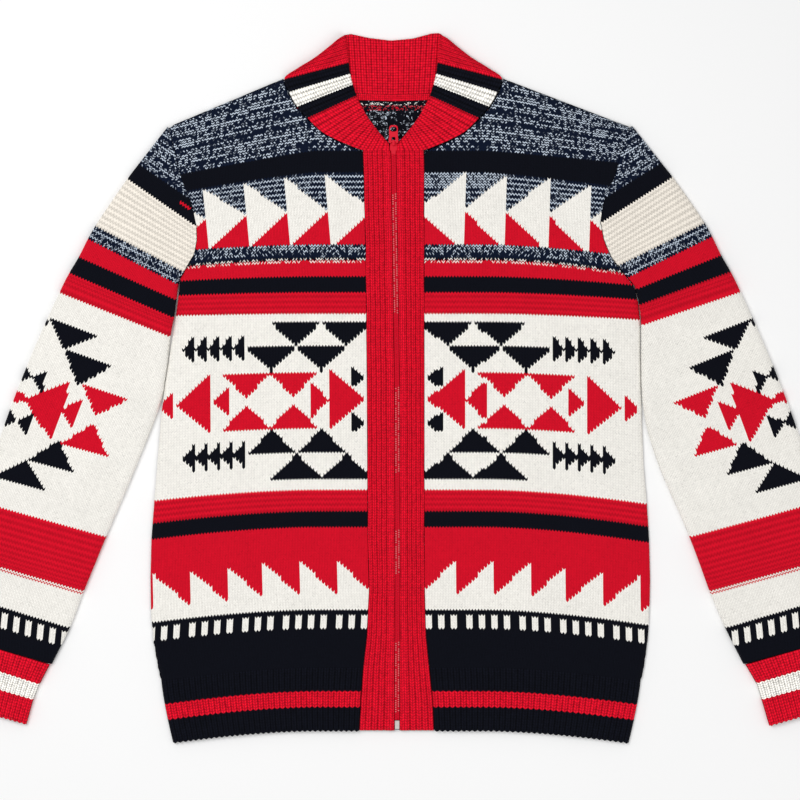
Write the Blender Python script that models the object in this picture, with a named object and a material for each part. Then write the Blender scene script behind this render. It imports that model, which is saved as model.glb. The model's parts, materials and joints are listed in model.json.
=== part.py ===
"""Knitted zip cardigan laid flat, face up: width along X, collar toward +Y, back panel's underside on Z = 0."""

import math

import bmesh
import bpy
from mathutils import Matrix, Vector

MM = 0.001

# Heights of the layers and walls, in mm.
WALL = 2.4
SEAM = 0.3
LOFT = 1.3
UNDER_FRONT = WALL + SEAM + LOFT
RIB = 0.8
COLLAR_WALL = 2.8
COLLAR_UNDER = 4.3
TAPE_TOP = 3.7

# Half of the zip's width between the bands, and the width of each tape.
ZIP_HALF = 3.0
TAPE_WIDTH = 15.0

# Body edges from hem to underarm: y of the section, left edge, right edge.
SIDE = [
    (-310, -254.5, 256.5),
    (-296, -257.7, 259.9),
    (-266, -263.1, 264.1),
    (-234, -265.7, 266.2),
    (-202, -266.2, 266.8),
    (-160, -265.2, 265.7),
    (-117, -262.0, 263.1),
    (-81, -259.0, 259.8),
    (-29, -254.9, 257.8),
    (5, -250.8, 256.8),
    (35, -246.0, 256.2),
    (75, -239.5, 256.0),
    (95, -237.0, 253.8),
    (111, -235.3, 249.2),
    (118, -234.3, 245.0),
]

# Armhole from the underarm up to the shoulder: left x, left y, right x, right y, y at the zip band.
ARMHOLE = [
    (-234.3, 118.0, 249.2, 111.0, 122.0),
    (-226.8, 131.0, 235.9, 126.7, 137.0),
    (-218.9, 144.8, 224.7, 141.6, 155.0),
    (-216.2, 159.8, 217.0, 160.0, 171.0),
    (-216.7, 176.0, 213.2, 180.0, 187.0),
    (-222.6, 201.3, 217.5, 204.0, 207.0),
    (-232.2, 223.6, 228.5, 227.0, 226.0),
    (-238.6, 249.2, 235.4, 253.5, 240.0),
    (-247.1, 280.1, 244.9, 280.1, 253.6),
]

# Zip line and outer edges of the two bands: y, left edge, zip line, right edge.
BAND = [
    (-364, -43.0, -3.0, 36.2),
    (-330, -41.5, -3.1, 34.2),
    (-296, -38.8, -3.0, 31.2),
    (-262, -35.3, -2.8, 27.4),
    (-215, -32.8, -2.7, 26.3),
    (-160, -34.2, -2.7, 25.8),
    (0, -35.0, -3.0, 25.8),
    (150, -36.5, -5.2, 25.7),
    (254, -39.4, -6.9, 25.6),
]

# Front neck seam from the zip band to the shoulder: left x, right x, y.
NECK = [
    (-39.4, 25.6, 253.6),
    (-54.3, 40.3, 259.3),
    (-70.7, 56.7, 266.7),
    (-85.4, 71.2, 275.2),
    (-99.3, 85.3, 288.9),
    (-110.8, 96.6, 301.6),
    (-119.6, 105.4, 316.6),
    (-124.4, 110.0, 331.6),
]
SHOULDER_END = (-247.1, 244.9, 280.1)

# Middle of the whole garment's length, moved to Y = 0.
MIDDLE_Y = 1.645

# Back neck seam: x, y.
BACK_NECK = [
    (-124.4, 331.6),
    (-106.5, 321.5),
    (-74.5, 316.2),
    (-7.3, 314.2),
    (59.5, 316.2),
    (91.5, 321.5),
    (110.0, 331.6),
]

# Drop of a cross stripe at the side seam against its height at the zip band: y, drop.
DROP = [(-380, 15.0), (-296, 14.5), (-127, 11.5), (60, 4.5), (123, 4.0)]

# Sections of the sleeves below the armhole: outer x, outer y, left inner x, inner y, right inner x, inner y, height.
SLEEVE = [
    (277.0, 242.5, -236.2, 107.0, 252.8, 100.0, 6.8),
    (306.0, 202.5, -238.6, 94.0, 256.2, 86.0, 7.6),
    (332.3, 164.0, -241.2, 76.0, 256.8, 66.0, 8.4),
    (362.6, 104.8, -245.6, 44.0, 257.0, 36.0, 8.8),
    (391.5, 40.0, -253.0, -8.0, 258.4, -14.0, 8.8),
    (420.7, -35.0, -278.0, -74.0, 274.0, -76.0, 8.8),
    (447.3, -118.2, -312.6, -155.8, 308.0, -156.0, 8.6),
    (461.6, -181.0, -335.5, -216.2, 330.0, -216.0, 8.4),
    (470.2, -222.0, -351.5, -255.0, 346.0, -255.0, 8.4),
    (475.0, -262.0, -371.0, -292.5, 366.0, -292.5, 8.0),
]
CUFF = [
    (474.4, -262.5, -373.0, -293.0, 368.0, -293.0, 8.4),
    (472.5, -287.0, -385.0, -315.8, 380.5, -314.5, 8.6),
    (475.5, -308.5, -391.4, -332.8, 386.0, -333.0, 8.8),
    (480.5, -333.3, -398.0, -356.8, 393.5, -358.5, 8.8),
]

# Ribs of the collar's left front part: x and y at the seam or the fold, x and y at the free edge, fold (1) or seam (0).
COLLAR_FRONT = [
    (-13.0, 254.3, -12.8, 263.1, 0),
    (-26.0, 254.3, -18.6, 270.0, 0),
    (-39.0, 254.6, -24.5, 277.2, 0),
    (-54.0, 259.9, -30.2, 284.6, 0),
    (-70.4, 267.2, -35.9, 293.0, 0),
    (-85.0, 275.6, -41.2, 302.8, 0),
    (-98.9, 289.2, -46.3, 313.2, 0),
    (-110.1, 302.0, -50.4, 325.5, 0),
    (-118.5, 317.0, -53.0, 336.5, 0),
    (-123.4, 331.9, -54.6, 349.5, 0.5),
    (-111.6, 341.2, -55.6, 358.0, 1),
    (-93.6, 352.2, -56.4, 366.0, 1),
    (-79.9, 362.4, -57.2, 372.5, 1),
    (-67.0, 373.0, -58.6, 377.6, 1),
]
COLLAR_MIRROR = -14.6
COLLAR_RIBS = 22

# Free edge of the back collar: x, y.
COLLAR_TOP = [
    (-118.0, 335.6),
    (-93.7, 351.0),
    (-67.1, 372.0),
    (-58.5, 378.4),
    (-50.0, 379.6),
    (-31.9, 375.4),
    (-9.6, 372.6),
    (12.8, 374.8),
    (31.9, 380.2),
    (40.0, 380.6),
    (46.0, 377.0),
    (79.1, 351.0),
    (103.4, 335.6),
]
BACK_RIB_PITCH = 5.7

# Soft folds: x and y of each end, spread, height.
FOLDS = [
    (-205, 150, -120, 60, 20, 1.4),
    (-232, 90, -190, -60, 18, 1.2),
    (-150, -60, -200, -230, 26, 1.0),
    (-95, 230, -160, 290, 20, 0.9),
    (-80, 60, -110, -140, 30, 0.8),
    (208, 150, 110, 70, 20, 1.3),
    (244, 104, 196, 20, 16, 1.9),
    (232, 20, 205, -190, 20, 1.3),
    (96, 220, 165, 280, 20, 0.9),
    (70, 40, 120, -160, 30, 0.8),
    (150, -200, 190, -290, 22, 0.9),
    (-330, 150, -262, 60, 16, 1.8),
    (-300, 190, -240, 120, 14, 1.2),
    (-345, 60, -330, -110, 18, 1.6),
    (-430, -120, -350, -180, 16, 1.5),
    (-400, -170, -395, -240, 14, 1.2),
    (322, 160, 264, 62, 16, 2.0),
    (302, 200, 262, 110, 14, 1.4),
    (372, 40, 330, -90, 18, 1.5),
    (420, -90, 352, -190, 16, 1.6),
    (440, -200, 400, -250, 14, 1.3),
]

# Zip slider and its pull tab.
SLIDER_X = -6.9
SLIDER_Y = 257.0
SLIDER_LENGTH = 14.0
SLIDER_WIDTH = 8.2
SLIDER_UNDER = 6.4
SLIDER_TOP = 8.4
PIVOT_Y = 263.6
PIVOT_Z = 9.9
PIN_RADIUS = 0.7
TAB_LENGTH = 19.0
TAB_WIDTH = 10.6
TAB_THICKNESS = 1.6


def clamp(value, low=0.0, high=1.0):
    """Value kept between two limits."""
    return max(low, min(high, value))


def smooth(value):
    """Soft step from 0 to 1."""
    value = clamp(value)
    return value * value * (3 - 2 * value)


def along(table, at, key=0):
    """Row of a table at a value of one of its columns, read along straight lines between the rows."""
    rows = sorted(table, key=lambda row: row[key])
    if at <= rows[0][key]:
        return rows[0]
    for low, high in zip(rows, rows[1:]):
        if at <= high[key]:
            part = (at - low[key]) / (high[key] - low[key])
            return tuple(a + (b - a) * part for a, b in zip(low, high))
    return rows[-1]


def curved(rows, steps):
    """Rows of a table with more rows put between them on a smooth curve."""
    result = []
    for i in range(len(rows) - 1):
        before = rows[max(i - 1, 0)]
        start = rows[i]
        end = rows[i + 1]
        after = rows[min(i + 2, len(rows) - 1)]
        for step in range(steps):
            t = step / steps
            result.append(tuple(
                0.5 * (2 * b + (c - a) * t + (2 * a - 5 * b + 4 * c - d) * t * t + (3 * b - 3 * c + d - a) * t ** 3)
                for a, b, c, d in zip(before, start, end, after)))
    result.append(tuple(rows[-1]))
    return result


def polyline(points, part):
    """Point at a share of the length of a line through points."""
    lengths = [(Vector(b) - Vector(a)).length for a, b in zip(points, points[1:])]
    left = clamp(part) * sum(lengths)
    for a, b, length in zip(points, points[1:], lengths):
        if left <= length:
            return Vector(a).lerp(Vector(b), left / length)
        left -= length
    return Vector(points[-1])


def fold_height(x, y):
    """Height that the soft folds add to the upper cloth at a place."""
    total = 0.0
    here = Vector((x, y))
    for x0, y0, x1, y1, spread, height in FOLDS:
        start = Vector((x0, y0))
        line = Vector((x1, y1)) - start
        part = clamp((here - start).dot(line) / line.length_squared)
        gap = (here - start - line * part).length / spread
        total += height * math.exp(-gap * gap) * math.sin(math.pi * (0.15 + 0.7 * part))
    return total


def side_x(y, left):
    """X of the body's edge at a height."""
    return along(SIDE, y)[1 if left else 2]


def stripe_drop(x, y):
    """How far a cross stripe hangs below its height at the zip band."""
    amount = along(DROP, y)[1]
    return amount * clamp((abs(x) - 90) / 165) ** 1.7


def hem_y(x):
    """Height of the hem's lower edge."""
    return -363.6 - stripe_drop(x, -364)


def rib_y(x):
    """Height of the seam over the ribbed hem."""
    return -296.0 - stripe_drop(x, -296)


def front_top(x, left):
    """Height of the neck seam and shoulder over a place on the front."""
    shoulder = (SHOULDER_END[0 if left else 1], SHOULDER_END[2])
    points = [(row[0 if left else 1], row[2]) for row in NECK] + [shoulder]
    return along(points, x)[1]


def back_top(x):
    """Height of the back neck seam and shoulders."""
    left = (SHOULDER_END[0], SHOULDER_END[2])
    right = (SHOULDER_END[1], SHOULDER_END[2])
    return along([left] + BACK_NECK + [right], x)[1]


def material(name, colour, roughness=0.9):
    """Plain Principled material."""
    made = bpy.data.materials.new(name)
    made.use_nodes = True
    shader = made.node_tree.nodes["Principled BSDF"]
    shader.inputs["Base Color"].default_value = (*colour, 1)
    shader.inputs["Roughness"].default_value = roughness
    return made


def finish(name, verts, faces, colour, roughness=0.9, soft=True):
    """Object from points in mm, with its faces turned outward."""
    mesh = bpy.data.meshes.new(name)
    mesh.from_pydata([Vector(v) * MM for v in verts], [], faces)
    work = bmesh.new()
    work.from_mesh(mesh)
    bmesh.ops.recalc_face_normals(work, faces=work.faces)
    work.to_mesh(mesh)
    work.free()
    made = bpy.data.objects.new(name, mesh)
    bpy.data.collections["cardigan"].objects.link(made)
    made.data.materials.append(material(name + "_material", colour, roughness))
    if soft:
        for face in mesh.polygons:
            face.use_smooth = True
        mesh.set_sharp_from_angle(angle=math.radians(50))
    return made


def grid_solid(upper, under):
    """Points and faces of a wall between an upper and a lower grid of the same shape."""
    rows = len(upper)
    cols = len(upper[0])
    verts = [p for row in upper for p in row] + [p for row in under for p in row]
    shift = rows * cols
    faces = []
    for r in range(rows - 1):
        for c in range(cols - 1):
            a = r * cols + c
            faces.append((a, a + 1, a + cols + 1, a + cols))
            faces.append((shift + a, shift + a + cols, shift + a + cols + 1, shift + a + 1))
    rim = [c for c in range(cols)]
    rim += [r * cols + cols - 1 for r in range(1, rows)]
    rim += [(rows - 1) * cols + c for c in range(cols - 2, -1, -1)]
    rim += [r * cols for r in range(rows - 2, 0, -1)]
    for a, b in zip(rim, rim[1:] + rim[:1]):
        faces.append((a, b, shift + b, shift + a))
    return verts, faces


def tube_solid(outer, inner):
    """Points and faces of an open tube between outer and inner rings."""
    rings = len(outer)
    count = len(outer[0])
    verts = [p for ring in outer for p in ring] + [p for ring in inner for p in ring]
    shift = rings * count
    faces = []
    for r in range(rings - 1):
        for c in range(count):
            a = r * count + c
            b = r * count + (c + 1) % count
            faces.append((a, b, b + count, a + count))
            faces.append((shift + a, shift + a + count, shift + b + count, shift + b))
    for r in (0, rings - 1):
        for c in range(count):
            a = r * count + c
            b = r * count + (c + 1) % count
            faces.append((a, b, shift + b, shift + a))
    return verts, faces


def inset(loop, wall):
    """Closed outline moved inward by the wall's thickness."""
    result = []
    count = len(loop)
    for i in range(count):
        here = Vector(loop[i])
        into = (here - Vector(loop[i - 1])).normalized()
        out = (Vector(loop[(i + 1) % count]) - here).normalized()
        first = Vector((into.y, -into.x))
        second = Vector((out.y, -out.x))
        middle = (first + second).normalized()
        result.append(here + middle * wall / max(middle.dot(first), 0.6))
    return result


def body_rows():
    """Rows of the body from the hem's seam to the shoulder: y at the band, left end, right end, share of the top."""
    rows = []
    for y in (-296, -262, -215, -160, -105, -55, 0, 45, 85):
        left = y - along(DROP, y)[1]
        right = left
        rows.append((y, side_x(left, True), left, side_x(right, False), right, 0.0))
    for i, (lx, ly, rx, ry, band) in enumerate(ARMHOLE):
        rows.append((band, lx, ly, rx, ry, (i / (len(ARMHOLE) - 1)) ** 2))
    return rows


def front_columns(left):
    """Shares of a front's width at its columns, the first ones at the corners of the neck seam."""
    side = 0 if left else 1
    start = NECK[0][side]
    corners = [(row[side] - start) / (SHOULDER_END[side] - start) for row in NECK]
    return corners + [0.5, 0.6, 0.7, 0.8, 0.88, 0.95, 0.99, 1.0]


def make_front(left):
    """Front panel between the zip band, hem, side, armhole, shoulder and neck."""
    side = 0 if left else 1
    columns = front_columns(left)
    upper = []
    under = []
    rows = body_rows()
    for i, row in enumerate(rows):
        band_y, left_x, left_y, right_x, right_y, share = row
        edge = Vector((left_x, left_y)) if left else Vector((right_x, right_y))
        sign = -1 if left else 1
        band_x = along(BAND, band_y)[1 if left else 3] + sign * SEAM
        line_up = []
        line_low = []
        side_row = i < len(rows) - len(ARMHOLE)
        for u in columns:
            x = band_x + (edge.x - band_x) * u
            y = band_y + (edge.y - band_y) * u ** (1.7 if side_row else 1.3)
            if share:
                flat = 253.6 + (280.1 - 253.6) * u ** 1.3
                top_x = NECK[0][side] + (SHOULDER_END[side] - NECK[0][side]) * u
                y += share * (front_top(top_x, left) - flat)
            if i == 0:
                y = rib_y(x)
            if i == len(rows) - 1:
                y -= SEAM
            loft = LOFT
            wall = WALL
            if side_row or i == len(rows) - len(ARMHOLE):
                loft *= smooth((1 - u) / 0.12)
                wall -= 1.0 * smooth((u - 0.98) / 0.02)
            beyond_neck = abs(x - COLLAR_MIRROR / 2) > 117.5
            if i == len(rows) - 1 and beyond_neck:
                loft = 0.0
                wall = 1.4
            lift = fold_height(x, y) * loft / LOFT
            z = WALL + SEAM + loft + lift
            line_low.append((x, y, z))
            line_up.append((x, y, z + wall))
        upper.append(line_up)
        under.append(line_low)
    name = "front_left" if left else "front_right"
    return finish(name, *grid_solid(upper, under), (0.86, 0.83, 0.76))


BACK_COLUMNS = (
    0, 0.06, 0.12, 0.185, 0.2494, 0.2858, 0.3508, 0.42, 0.4874, 0.555, 0.6232, 0.6882, 0.7258, 0.81, 0.87, 0.94, 1,
)


def make_back():
    """Back panel, flat underneath."""
    upper = []
    under = []
    rows = body_rows()
    for i, (band_y, left_x, left_y, right_x, right_y, share) in enumerate(rows):
        line_up = []
        line_low = []
        for w in BACK_COLUMNS:
            x = left_x + (right_x - left_x) * w
            out = abs(2 * w - 1)
            end_y = left_y + (right_y - left_y) * w
            middle_y = band_y
            y = middle_y + (end_y - middle_y) * out ** 1.7
            if share:
                flat = 253.6 + (280.1 - 253.6) * out ** 1.7
                top_x = SHOULDER_END[0] + (SHOULDER_END[1] - SHOULDER_END[0]) * w
                y += share * (back_top(top_x) - flat)
            if i == 0:
                y = rib_y(x)
            line_low.append((x, y, 0.0))
            line_up.append((x, y, WALL))
        upper.append(line_up)
        under.append(line_low)
    return finish("back", *grid_solid(upper, under), (0.1, 0.12, 0.17))


def make_hem(side):
    """Ribbed hem of one front, or of the back."""
    upper = []
    under = []
    ribs = 36
    for part in (0.0, 0.5, 1.0):
        line_up = []
        line_low = []
        y_mid = -296 - 68 * part
        left_x = -254.6 + 12.4 * part ** 1.3
        right_x = 256.6 - 12.6 * part ** 1.3
        if side == "back":
            for i in range(17):
                x = left_x + (right_x - left_x) * i / 16
                y = rib_y(x) + (hem_y(x) - rib_y(x)) * part - (0.0 if part else SEAM)
                line_low.append((x, y, 0.0))
                line_up.append((x, y, WALL))
        else:
            column = 1 if side == "left" else 3
            sign = -1 if side == "left" else 1
            band_x = along(BAND, y_mid)[column] + sign * SEAM
            edge_x = left_x if side == "left" else right_x
            for i in range(2 * ribs + 1):
                u = i / (2 * ribs)
                x = band_x + (edge_x - band_x) * u
                y = rib_y(x) + (hem_y(x) - rib_y(x)) * part - (0.0 if part else SEAM)
                loft = LOFT * smooth((1 - u) / 0.12) * (1.0 - 0.4 * part)
                z = WALL + SEAM + loft + fold_height(x, y) * loft / LOFT
                raised = RIB if i % 2 else 0.0
                wall = WALL - 0.3 + raised - 0.8 * smooth((u - 0.97) / 0.03)
                line_low.append((x, y, z))
                line_up.append((x, y, z + wall))
        upper.append(line_up)
        under.append(line_low)
    return finish("hem_" + side, *grid_solid(upper, under), (0.012, 0.016, 0.03))


def ring(line, height, ribs, knots=(0.34, 0.66)):
    """Outer and inner outline of a flattened tube lying along a line across the sleeve."""
    width = sum((b - a).length for a, b in zip(line, line[1:]))
    low = 0.42 * height
    section = [(0.0, low), (2.6, 0.8 * height)]
    if ribs:
        for i in range(2 * ribs + 1):
            d = 6.0 + (width - 12.0) * i / (2 * ribs)
            section.append((d, 0.93 * height + (RIB if i % 2 else 0.0)))
    else:
        for d in [8.0] + [knot * width for knot in knots] + [width - 8.0]:
            section.append((d, height * (0.96 + 0.04 * smooth(min(d, width - d) / (0.3 * width)))))
    section += [(width - 2.6, 0.8 * height), (width, low), (width - 3.2, 0.0)]
    section += [(knot * width, 0.0) for knot in reversed(knots)] + [(3.2, 0.0)]
    inner = inset(section, WALL)
    rings = []
    for outline in (section, inner):
        points = []
        for d, z in outline:
            place = polyline(line, d / width)
            lift = fold_height(place.x, place.y) * clamp(z / height) ** 2
            points.append((place.x, place.y, z + lift * smooth(min(d, width - d) / 20)))
        rings.append(points)
    return rings


def sleeve_line(row, left):
    """Line across the sleeve from its outer to its inner edge."""
    outer = Vector((-row[0], row[1])) if left else Vector((row[0], row[1]))
    inner = Vector((row[2], row[3])) if left else Vector((row[4], row[5]))
    return outer, inner


def make_sleeve(left):
    """Sleeve as a flattened open tube from the armhole to the cuff."""
    sign = -1 if left else 1
    hole = [Vector((row[0], row[1])) if left else Vector((row[2], row[3])) for row in reversed(ARMHOLE)]
    hole = [p + Vector((sign * 1.5 * SEAM, 0)) for p in hole]
    hole[-1] += Vector((sign * 4 * SEAM, SEAM / 2))
    start = hole[0]
    end = hole[-1]
    steps = [(b - a).length for a, b in zip(hole, hole[1:])]
    knots = [sum(steps[:i + 1]) / sum(steps) for i in range(len(steps) - 1)]
    edge = [(row[1], row[2]) if left else (row[3], row[4]) for row in body_rows()]
    rows = curved(SLEEVE, 2)
    outer = []
    inner = []
    first = (sign * start.x, start.y, end.x, end.y, end.x, end.y, 6.6)
    for i, row in enumerate([first] + rows):
        a, b = sleeve_line(row, left)
        beside = along(edge, b.y, 1)[0] + sign * 2 * SEAM
        if i:
            b.x = min(b.x, beside) if left else max(b.x, beside)
        bulge = (1.0, 0.55, 0.34, 0.2, 0.1, 0.04)[i] if i < 6 else 0.0
        line = []
        for t in [0] + knots + [1]:
            on_hole = polyline(hole, t)
            straight = start.lerp(hole[-1], t)
            share = bulge * (1 - t ** 5) if i else bulge
            line.append(a.lerp(b, t) + (on_hole - straight) * share)
        rings = ring(line, row[6], 0, knots)
        outer.append(rings[0])
        inner.append(rings[1])
    name = "sleeve_left" if left else "sleeve_right"
    return finish(name, *tube_solid(outer, inner), (0.86, 0.83, 0.76))


def make_cuff(left):
    """Ribbed cuff as a flattened open tube."""
    outer = []
    inner = []
    for row in CUFF:
        a, b = sleeve_line(row, left)
        rings = ring([a, b], row[6], 17)
        outer.append(rings[0])
        inner.append(rings[1])
    name = "cuff_left" if left else "cuff_right"
    return finish(name, *tube_solid(outer, inner), (0.62, 0.012, 0.035))


def collar_front(left):
    """Front part of the collar, folded down toward the back at its outer edge."""
    upper = []
    under = []
    rows = 2 * COLLAR_RIBS
    fine = curved(COLLAR_FRONT, 4)
    for i in range(rows + 1):
        place = i / rows * (len(fine) - 1)
        low = fine[int(place)]
        high = fine[min(int(place) + 1, len(fine) - 1)]
        part = place - int(place)
        nx, ny, fx, fy, fold = (a + (b - a) * part for a, b in zip(low, high))
        free = Vector((fx, fy))
        seam = Vector((nx, ny)) + (free - Vector((nx, ny))).normalized() * 0.5
        length = (free - seam).length
        raised = RIB if i % 2 else 0.0
        line_up = []
        line_low = []
        for d in (0.0, min(2.4, 0.2 * length), min(7.0, 0.4 * length), 0.6 * length, length - 1.4, length):
            p = seam.lerp(free, d / length)
            down = fold * (1 - smooth(d / 7.0)) ** 1.3
            z = COLLAR_UNDER * (1 - 0.88 * down)
            wall = COLLAR_WALL + raised
            if d == length:
                wall *= 0.6
            if d == 0.0:
                wall *= 1 - 0.25 * fold
            x = p.x if left else COLLAR_MIRROR - p.x
            line_low.append((x, p.y, z))
            line_up.append((x, p.y, z + wall))
        upper.append(line_up)
        under.append(line_low)
    return grid_solid(upper, under)


def collar_back():
    """Back part of the collar, its ribs facing up inside the neck."""
    upper = []
    under = []
    first = -117.0
    last = first + COLLAR_MIRROR - 2 * first
    ribs = round((last - first) / BACK_RIB_PITCH)
    columns = []
    for i in range(2 * ribs + 1):
        x = first + (last - first) * i / (2 * ribs)
        columns.append((x, RIB if i % 2 else 0.0))
    for part in (0.0, 0.25, 0.6, 0.96, 1.0):
        line_up = []
        line_low = []
        for x, raised in columns:
            y0 = along(BACK_NECK, x)[1] + SEAM
            y1 = along(COLLAR_TOP, x)[1] - 0.4
            y = y0 + (y1 - y0) * part
            wall = COLLAR_WALL + raised
            if part == 1.0:
                wall *= 0.6
            line_low.append((x, y, 0.0))
            line_up.append((x, y, wall))
        upper.append(line_up)
        under.append(line_low)
    return grid_solid(upper, under)


def make_collar():
    """Collar band: the back part joined with both front parts along the folds."""
    colour = (0.66, 0.012, 0.04)
    collar = finish("collar", *collar_back(), colour)
    cutters = bpy.data.collections["cutters"]
    for left in (True, False):
        part = finish("collar_part", *collar_front(left), colour)
        bpy.data.collections["cardigan"].objects.unlink(part)
        cutters.objects.link(part)
        part.hide_render = True
        joined = collar.modifiers.new("fold", "BOOLEAN")
        joined.operation = "UNION"
        joined.solver = "EXACT"
        joined.object = part
    return collar


def make_band(left):
    """Zip band with three raised rib columns, a groove and a smooth column by the zip."""
    profile = [
        (0.0, -0.5), (0.05, 0.7), (0.17, 0.8), (0.21, 0.0), (0.26, 0.8), (0.38, 0.8), (0.42, 0.0),
        (0.47, 0.8), (0.59, 0.8), (0.64, -0.2), (0.70, 0.0), (0.75, 1.0), (0.93, 0.9), (1.0, -0.2),
    ]
    upper = []
    under = []
    for y in (-363.4, -330, -296, -262, -215, -160, -80, 0, 75, 150, 202, 254):
        row = along(BAND, y)
        zip_x = row[2] + (-ZIP_HALF if left else ZIP_HALF)
        edge_x = row[1 if left else 3]
        line_up = []
        line_low = []
        for u, raised in profile:
            x = edge_x + (zip_x - edge_x) * u
            lift = fold_height(x, y) * 0.5
            line_low.append((x, y, UNDER_FRONT + 0.1 + lift))
            line_up.append((x, y, UNDER_FRONT + 0.1 + lift + 2.2 + raised))
        upper.append(line_up)
        under.append(line_low)
    name = "placket_left" if left else "placket_right"
    return finish(name, *grid_solid(upper, under), (0.64, 0.012, 0.035))


def make_tape(left):
    """Zip tape under the band, with its half of the chain standing up between the bands."""
    profile = [
        (TAPE_WIDTH, TAPE_TOP), (3.2, TAPE_TOP), (2.4, 4.0), (2.2, 5.6), (1.7, 6.0), (0.6, 6.0), (0.16, 5.5),
    ]
    sign = -1 if left else 1
    upper = []
    under = []
    for y in (-352, -296, -262, -215, -160, 0, 150, 254):
        zip_x = along(BAND, y)[2]
        upper.append([(zip_x + sign * d, y, z) for d, z in profile])
        under.append([(zip_x + sign * d, y, WALL + SEAM) for d, z in profile])
    name = "zip_tape_left" if left else "zip_tape_right"
    return finish(name, *grid_solid(upper, under), (0.5, 0.012, 0.03))


def make_neck_tape():
    """Narrow tape over the seam of the back neck, on the inside of the back."""
    upper = []
    under = []
    for i in range(17):
        x = -100 + (185.4) * i / 16
        y = along(BACK_NECK, x)[1] - SEAM
        z = WALL + SEAM
        under.append([(x, y - 6.6, z), (x, y - 3.3, z), (x, y, z)])
        upper.append([(x, y - 6.6, z + 0.7), (x, y - 3.3, z + 1.2), (x, y, z + 0.8)])
    return finish("neck_tape", *grid_solid(upper, under), (0.6, 0.012, 0.035))


def add_box(name, size, at, colour, roughness, bevel=0.0):
    """Box with rounded edges; sizes in mm."""
    work = bmesh.new()
    bmesh.ops.create_cube(work, size=1.0)
    bmesh.ops.scale(work, vec=Vector(size) * MM, verts=work.verts)
    if bevel:
        bmesh.ops.bevel(work, geom=work.edges[:], offset=bevel * MM, segments=2, profile=0.5, affect="EDGES")
    bmesh.ops.translate(work, vec=Vector(at) * MM, verts=work.verts)
    mesh = bpy.data.meshes.new(name)
    work.to_mesh(mesh)
    work.free()
    made = bpy.data.objects.new(name, mesh)
    bpy.data.collections["cardigan"].objects.link(made)
    mesh.materials.append(material(name + "_material", colour, roughness))
    return made


def add_pin(name, radius, length, at, vertices=24):
    """Round pin along X as a cutter or an added part."""
    work = bmesh.new()
    turn = Matrix.Rotation(math.pi / 2, 4, "Y")
    bmesh.ops.create_cone(
        work, cap_ends=True, segments=vertices, radius1=radius * MM, radius2=radius * MM, depth=length * MM,
        matrix=Matrix.Translation(Vector(at) * MM) @ turn)
    mesh = bpy.data.meshes.new(name)
    work.to_mesh(mesh)
    work.free()
    made = bpy.data.objects.new(name, mesh)
    bpy.data.collections["cutters"].objects.link(made)
    made.hide_render = True
    return made


def to_cutters(made):
    """Box moved to the cutters' collection."""
    bpy.data.collections["cardigan"].objects.unlink(made)
    bpy.data.collections["cutters"].objects.link(made)
    made.hide_render = True
    return made


def combine(target, other, operation):
    """Boolean step on an object."""
    step = target.modifiers.new(operation.lower(), "BOOLEAN")
    step.operation = operation
    step.solver = "EXACT"
    step.object = other


def make_slider():
    """Slider body, wider toward the open end, with a raised crown that holds the pull tab."""
    half = SLIDER_WIDTH / 2
    low = SLIDER_Y - SLIDER_LENGTH / 2
    high = SLIDER_Y + SLIDER_LENGTH / 2
    outline = [
        (-0.6 * half, low), (0.6 * half, low), (0.66 * half, low + 4), (half, low + 5), (half, low + 8),
        (0.8 * half, high - 1), (0.4 * half, high), (-0.4 * half, high), (-0.8 * half, high - 1),
        (-half, low + 8), (-half, low + 5), (-0.66 * half, low + 4),
    ]
    verts = []
    for z, scale in ((SLIDER_UNDER, 1.0), (SLIDER_TOP - 0.6, 1.0), (SLIDER_TOP, 0.84)):
        verts += [(SLIDER_X + x * scale, SLIDER_Y + (y - SLIDER_Y) * scale, z) for x, y in outline]
    count = len(outline)
    faces = [tuple(range(count - 1, -1, -1)), tuple(range(2 * count, 3 * count))]
    for level in (0, 1):
        for i in range(count):
            a = level * count + i
            b = level * count + (i + 1) % count
            faces.append((a, b, b + count, a + count))
    body = finish("zip_slider", verts, faces, (0.55, 0.015, 0.03), 0.35)
    crown = add_box("crown", (3.0, 6.2, 4.0), (SLIDER_X, 262.4, 9.9), (0.55, 0.015, 0.03), 0.35, 0.8)
    bore = add_pin("crown_bore", PIN_RADIUS + 0.1, 12, (SLIDER_X, PIVOT_Y, PIVOT_Z))
    combine(body, to_cutters(crown), "UNION")
    combine(body, bore, "DIFFERENCE")
    return body


def make_pull():
    """Pull tab with two legs beside the crown, a pin through it and a hole near its end."""
    middle_y = PIVOT_Y - 1.4 + TAB_LENGTH / 2
    size = (TAB_WIDTH, TAB_LENGTH, TAB_THICKNESS)
    tab = add_box("zip_pull", size, (SLIDER_X, middle_y, PIVOT_Z), (0.62, 0.015, 0.035), 0.35, 0.55)
    slot = add_box("tab_slot", (4.0, 9.0, 4.0), (SLIDER_X, PIVOT_Y + 0.4, PIVOT_Z), (0, 0, 0), 0.5, 0.4)
    hole = add_box("tab_hole", (6.4, 4.6, 4.0), (SLIDER_X, PIVOT_Y + 13.2, PIVOT_Z), (0, 0, 0), 0.5, 1.2)
    pin = add_pin("tab_pin", PIN_RADIUS, 6.0, (SLIDER_X, PIVOT_Y, PIVOT_Z))
    combine(tab, to_cutters(slot), "DIFFERENCE")
    combine(tab, to_cutters(hole), "DIFFERENCE")
    combine(tab, pin, "UNION")
    return tab


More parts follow.
